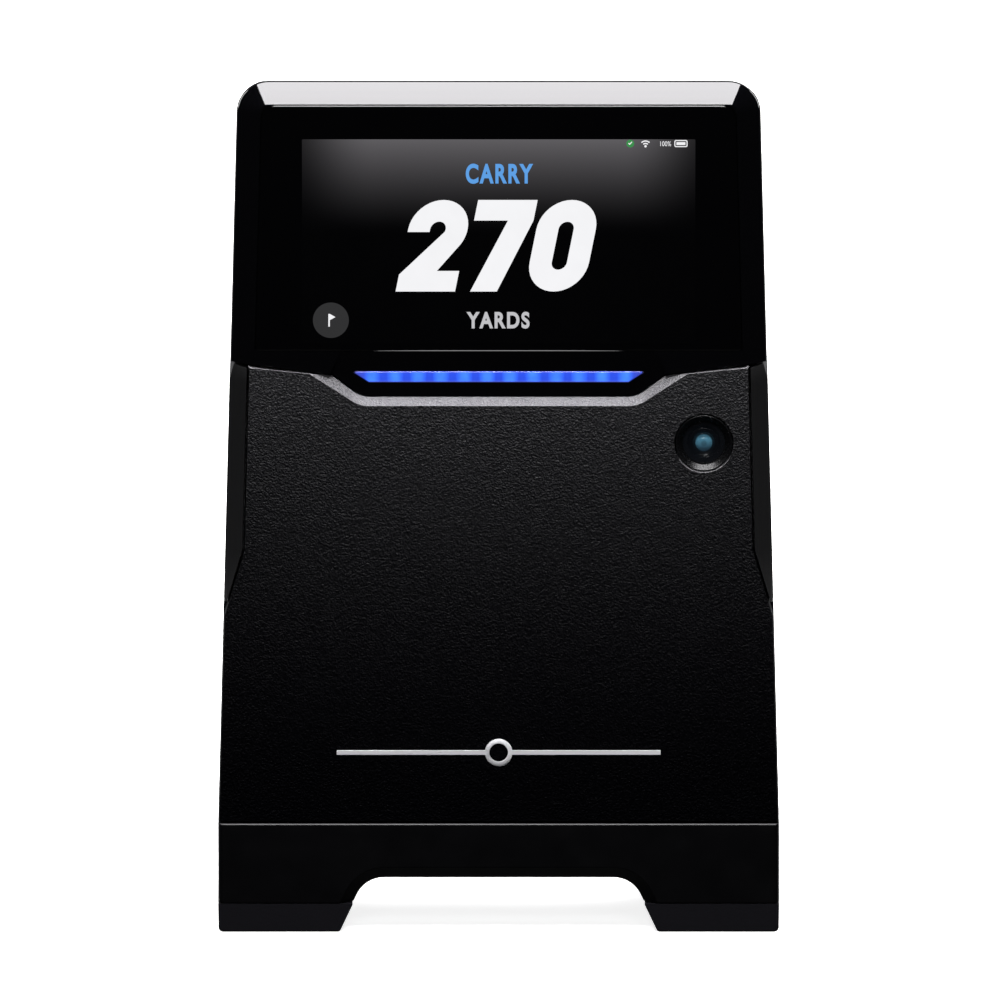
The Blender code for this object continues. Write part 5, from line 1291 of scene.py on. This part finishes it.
def build_kickstand():
    """The stand's frame: knuckle tube, plate with a round-cornered window, softened edges."""
    hinge, pin_radius = round_node("kickstand_pin", "z")
    knuckle = hinge.z - STAND_LOW.z
    end = STAND_HIGH.x
    hole = pin_radius + PIN_GAP
    corners = [(knuckle, -end, 0.3 * MM), (knuckle, end, 0.3 * MM), (hole, end, 0), (hole, -end, 0)]
    stand = drawn("kickstand_fine", turned, (0, hinge.y, hinge.z), "x", rounded(corners, 3), 48, hollow=True)
    root, top = hinge.z + knuckle - 0.9 * MM, STAND_HIGH.z
    outline = rounded([(-end, root, 0), (end, root, 0), (end, top, 5 * MM), (-end, top, 5 * MM)])
    carve(stand, prism, outline, STAND_PLATE, operation="UNION")
    bar = 11.0 * MM
    corners = [(-1, root + bar), (1, root + bar), (1, top - bar), (-1, top - bar)]
    outline = rounded([(sx * STAND_WINDOW, z, 4 * MM) for sx, z in corners])
    carve(stand, prism, outline, (STAND_PLATE[0] - 2 * MM, STAND_PLATE[1] + 2 * MM))
    soften(stand, 0.45 * MM, 3, 35)
    piece(stand, "dark_anodised", STAND, "kickstand")

    half = TIP_HIGH.x
    corners = [
        (-half, TIP_LOW.z, 0.3 * MM),
        (half, TIP_LOW.z, 0.3 * MM),
        (half - 2 * MM, TIP_HIGH.z, 1.2 * MM),
        (-half + 2 * MM, TIP_HIGH.z, 1.2 * MM),
    ]
    tip = drawn("kickstand_tip_fine", prism, rounded(corners, 6), STAND_PLATE)
    soften(tip, 0.5 * MM, 3, 40)
    piece(tip, "rubber_black", STAND, "kickstand_tip")


def build_tray():
    """The moulded pocket behind the stand, with a soft rim."""
    rim = 2.0 * MM
    tray = drawn("kickstand_tray_fine", block, TRAY_LOW, TRAY_HIGH)
    half = TRAY_HIGH.x - rim
    outline = mirrored([(half, TRAY_LOW.z + rim, 0), (half, TRAY_HIGH.z - rim, 0)])
    carve(tray, prism, outline, (TRAY_LOW.y + rim, TRAY_HIGH.y + CLEAR))
    pin, radius = round_node("kickstand_pin", "z")
    carve(tray, rod, (0, pin.y, pin.z), "x", radius + PIN_GAP, TRAY_LOW.x - 2 * MM, TRAY_HIGH.x + 2 * MM)
    soften(tray, 0.35 * MM, 3, 40)
    piece(tray, "satin_black", CASING, "kickstand_tray")


def build_button():
    """The power button: a shallow dish in its face, and the usual ring-and-line sign."""
    middle = (BUTTON_LOW + BUTTON_HIGH) / 2
    flange = (BUTTON_HIGH.x - BUTTON_LOW.x) / 2
    spot = (middle.x, 0, middle.z)
    face = BUTTON_HIGH.y
    inner = BODY_REAR - WALL - GAP
    dish = [(BUTTON_RADIUS * 0.8 * i / 8, face - 0.28 * MM * (1 - (i / 8) ** 2)) for i in range(8, 0, -1)]
    corners = rounded([
        (BUTTON_RADIUS * 0.8, face, 0),
        (BUTTON_RADIUS, face, 0.4 * MM),
        (BUTTON_RADIUS, inner, 0),
        (flange, inner, 0),
        (flange, inner - 1.4 * MM, 0),
        (1.5 * MM, inner - 1.4 * MM, 0),
        (1.5 * MM, BUTTON_LOW.y, 0),
    ], 5)
    piece(drawn("power_button_fine", turned, spot, "y", dish[::-1] + corners[1:], 64), "soft_black", BUTTON,
          "power_button")

    ring, line = 1.7 * MM, 0.32 * MM
    outer = arc((0, 0), ring, 120, 420, 40)
    loop = outer + arc((0, 0), ring - line, 420, 120, 40)
    back = face - 0.26 * MM
    piece(drawn("power_sign_ring", flat_shape, [[Vector((spot[0] - p.x, spot[2] + p.y)) for p in loop]],
                back, 0.12 * MM), "led_white", BUTTON)
    piece(drawn("power_sign_line", block, (spot[0] - line / 2, back, spot[2] + 0.5 * MM),
                (spot[0] + line / 2, back + 0.12 * MM, spot[2] + 1.95 * MM)), "led_white", BUTTON)


def build_status_light():
    """The light pipe, its end domed."""
    low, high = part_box("status_light_pipe")
    middle, radius = round_node("status_light_pipe")
    dome = [(radius * math.cos(a), high.y - radius * 0.4 * (1 - math.sin(a)))
            for a in (1.5, 1.2, 0.9, 0.6, 0.3, 0.0)]
    piece(drawn("status_light_fine", turned, (middle.x, 0, middle.z), "y", [*dome, (radius, low.y)], 32),
          "led_white", CASING, "status_light_pipe")


def build_port_cover():
    """The charging port's flap: rounded over its hinge, with three ribs for the fingertip."""
    pin, radius = round_node("port_cover_pin", "z")
    crown = COVER_HIGH.z - pin.z
    front = REAR - 1.6 * MM
    turns = [math.pi * i / 14 for i in range(15)]
    top = [Vector((pin.y + crown * math.cos(a), pin.z + crown * math.sin(a))) for a in turns]
    outline = [Vector((front, COVER_LOW.z)), Vector((REAR, COVER_LOW.z)), *top,
               Vector((front, pin.z - 2.2 * MM))]
    cover = drawn("port_cover_fine", loft, [[(x, p.x, p.y) for p in outline]
                                            for x in (COVER_LOW.x, COVER_HIGH.x)])
    carve(cover, rod, (0, pin.y, pin.z), "x", radius + GAP, COVER_LOW.x - 2 * MM, COVER_HIGH.x + 2 * MM)
    for index in range(3):
        z = COVER_LOW.z + (1.2 + 1.0 * index) * MM
        carve(cover, block, (-5 * MM, REAR - 0.3 * MM, z), (5 * MM, REAR + 1 * MM, z + 0.5 * MM))
    soften(cover, 0.18 * MM, 2, 40)
    piece(cover, "soft_black", FLAP, "port_cover")


def build_insert():
    """The tripod insert: a flanged brass bush with a cut thread."""
    low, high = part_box("tripod_insert")
    pitch, count = 1.27 * MM, 9
    thread = []
    for index in range(count):
        z = low.z + 0.4 * MM + index * pitch
        thread += [(INSERT_BORE, z), (INSERT_BORE, z + 0.2 * MM), (INSERT_BORE + 0.55 * MM, z + pitch / 2)]
    flange = (high.x - low.x) / 2
    seat = ARCH_TOP + WALL + GAP
    outer = [
        (INSERT_RADIUS, high.z),
        (INSERT_RADIUS, seat + 1.6 * MM),
        (flange, seat + 1.6 * MM),
        (flange, seat),
        (INSERT_RADIUS, seat),
        (INSERT_RADIUS, low.z + 0.2 * MM),
        (INSERT_RADIUS - 0.2 * MM, low.z),
        (INSERT_BORE + 0.5 * MM, low.z),
    ]
    piece(drawn("tripod_insert_fine", turned, (0, 0, 0), "z", outer + thread + [(INSERT_BORE, high.z)], 64,
                hollow=True), "brass", CASING, "tripod_insert")


# ---------------------------------------------------------------- inner parts stay as the CAD made them
INNER = {
    "board_green": ["display_board", "led_board", "wireless_antenna", "camera_board", "radar_board",
                    "main_board", "button_board", "usb_board"],
    "screen_black": ["oled_panel"],
    "aluminium": ["display_bracket", "chassis_plate", "chassis_floor"],
    "flex_amber": ["display_flex"],
    "tinned_steel": ["radar_shield", "usb_socket"],
    "dark_anodised": ["heat_sink"],
    "cell_wrap": ["battery_pack"],
    "holder_black": ["battery_holder_lower", "battery_holder_upper"],
    "cable_black": ["battery_lead"],
    "chip_black": ["button_switch"],
    "screw_black": [f"base_screw_{index + 1}" for index in range(4)],
    "steel": ["kickstand_pin", "friction_washer_left", "friction_washer_right", "port_cover_pin"],
}


def dress_inner_parts():
    """Gives the CAD nodes that stay their materials."""
    for material, names in INNER.items():
        for name in names:
            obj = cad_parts[name]
            obj.data.materials.clear()
            obj.data.materials.append(MATERIALS[material])


# ---------------------------------------------------------------- studio
CAMERA_ELEVATION = math.radians(10.0)
CAMERA_DISTANCE = 12.0
VIEW_WIDTH = 295.3 * MM
SENSOR = 36.0
AIM = Vector((0.4 * MM, PANEL_FRONT, 129.7 * MM))


def build_camera_view():
    """The view straight from the front, a little from above."""
    data = bpy.data.cameras.new("view")
    data.sensor_width = SENSOR
    data.lens = SENSOR * CAMERA_DISTANCE / VIEW_WIDTH
    data.clip_start = 0.05
    data.clip_end = 60.0
    obj = bpy.data.objects.new("view", data)
    back = Vector((0, -math.cos(CAMERA_ELEVATION), math.sin(CAMERA_ELEVATION)))
    obj.location = AIM + back * CAMERA_DISTANCE
    obj.rotation_euler = (math.pi / 2 - CAMERA_ELEVATION, 0, 0)
    bpy.context.scene.collection.objects.link(obj)
    bpy.context.scene.camera = obj


def soft_box(name, spot, target, width, length, power, colour=(1, 1, 1)):
    """A rectangular light that isn't seen itself."""
    data = bpy.data.lights.new(name, "AREA")
    data.shape = "RECTANGLE"
    data.size = width
    data.size_y = length
    data.energy = power
    data.color = colour
    obj = bpy.data.objects.new(name, data)
    obj.location = spot
    obj.rotation_euler = (Vector(target) - Vector(spot)).to_track_quat("-Z", "Y").to_euler()
    obj.visible_camera = False
    bpy.context.scene.collection.objects.link(obj)
    return obj


def build_floor():
    """A pale floor that the object's gloss doesn't mirror."""
    bm = bmesh.new()
    half, level = 30.0, -0.1 * MM
    bm.faces.new([bm.verts.new((x * half, y * half, level)) for x, y in ((-1, -1), (1, -1), (1, 1), (-1, 1))])
    floor = solid("studio_floor", bm)
    material, tree, shader = shader_of("studio_floor", 0.9, Emission_Strength=1.0, Specular_IOR_Level=0.1)
    cloud = noise(tree, place(tree), 400.0, 1.0)
    feed(shader, "Base Color", mix(tree, cloud, (0.86, 0.86, 0.86), (0.90, 0.90, 0.90)))
    shader.inputs["Emission Color"].default_value = (0.84, 0.84, 0.84, 1.0)
    floor.data.materials.append(material)
    floor.visible_glossy = False
    floor.visible_diffuse = False


def build_world():
    """Pale behind the floor's edge. What surfaces mirror is dark ahead and pale behind the object."""
    world = bpy.data.worlds.new("studio")
    world.use_nodes = True
    tree = world.node_tree
    seen = tree.nodes["Background"]
    seen.inputs["Color"].default_value = (1.02, 1.02, 1.02, 1.0)
    way = node(tree, "ShaderNodeTexCoord").outputs["Generated"]
    axes = axes_of(tree, way)
    behind = remap(tree, axes["Y"], 0.30, 0.85, 0.0, 1.0)
    level = math_node(tree, "POWER", behind, 1.3)
    dim = mix(tree, level, (0.012, 0.012, 0.014), (1.0, 1.0, 1.03))
    mirrored = node(tree, "ShaderNodeBackground", {"Color": dim, "Strength": 0.9})
    ray = node(tree, "ShaderNodeLightPath")
    both = node(tree, "ShaderNodeMixShader", {0: ray.outputs["Is Camera Ray"]})
    tree.links.new(mirrored.outputs[0], both.inputs[1])
    tree.links.new(seen.outputs[0], both.inputs[2])
    tree.links.new(both.outputs[0], tree.nodes["World Output"].inputs[0])
    bpy.context.scene.world = world


def build_studio():
    """The camera, the floor, the surroundings and the soft lights."""
    build_camera_view()
    build_floor()
    build_world()
    soft_box("over_box", (0, -0.10, 1.40), (0, -0.10, 0), 1.30, 0.75, 50.0, (1.0, 0.985, 1.01))
    strip = soft_box("front_strip", (0, -0.36, 0.60), (0, PANEL_FRONT, 0.175), 0.30, 0.08, 0.7)
    strip.data.spread = math.radians(60)
    soft_box("fill_box", (0, -2.2, 1.3), (0, 0, 0.12), 1.0, 0.6, 12.0)
    soft_box("left_box", (-1.6, 0.6, 0.8), (0, 0, 0.12), 0.5, 1.2, 16.0)
    soft_box("right_box", (1.6, 0.6, 0.8), (0, 0, 0.12), 0.5, 1.2, 16.0)
    soft_box("back_box", (0.5, 1.8, 1.1), (0, 0, 0.12), 1.6, 0.8, 60.0)
    settings = bpy.context.scene.view_settings
    settings.view_transform = "Standard"
    settings.look = "None"
    settings.exposure = 0.0
    settings.gamma = 1.0


for build in (
    build_base, build_pads, build_body_shell, build_grips, build_front_panel, build_badge,
    build_head_bezel, build_glass, build_crease_lip, build_light_bar, build_head_shell, build_screen,
    build_camera, build_screws, build_tray, build_kickstand, build_button, build_status_light,
    build_port_cover, build_insert, dress_inner_parts, build_studio,
):
    build()

bpy.context.view_layer.update()
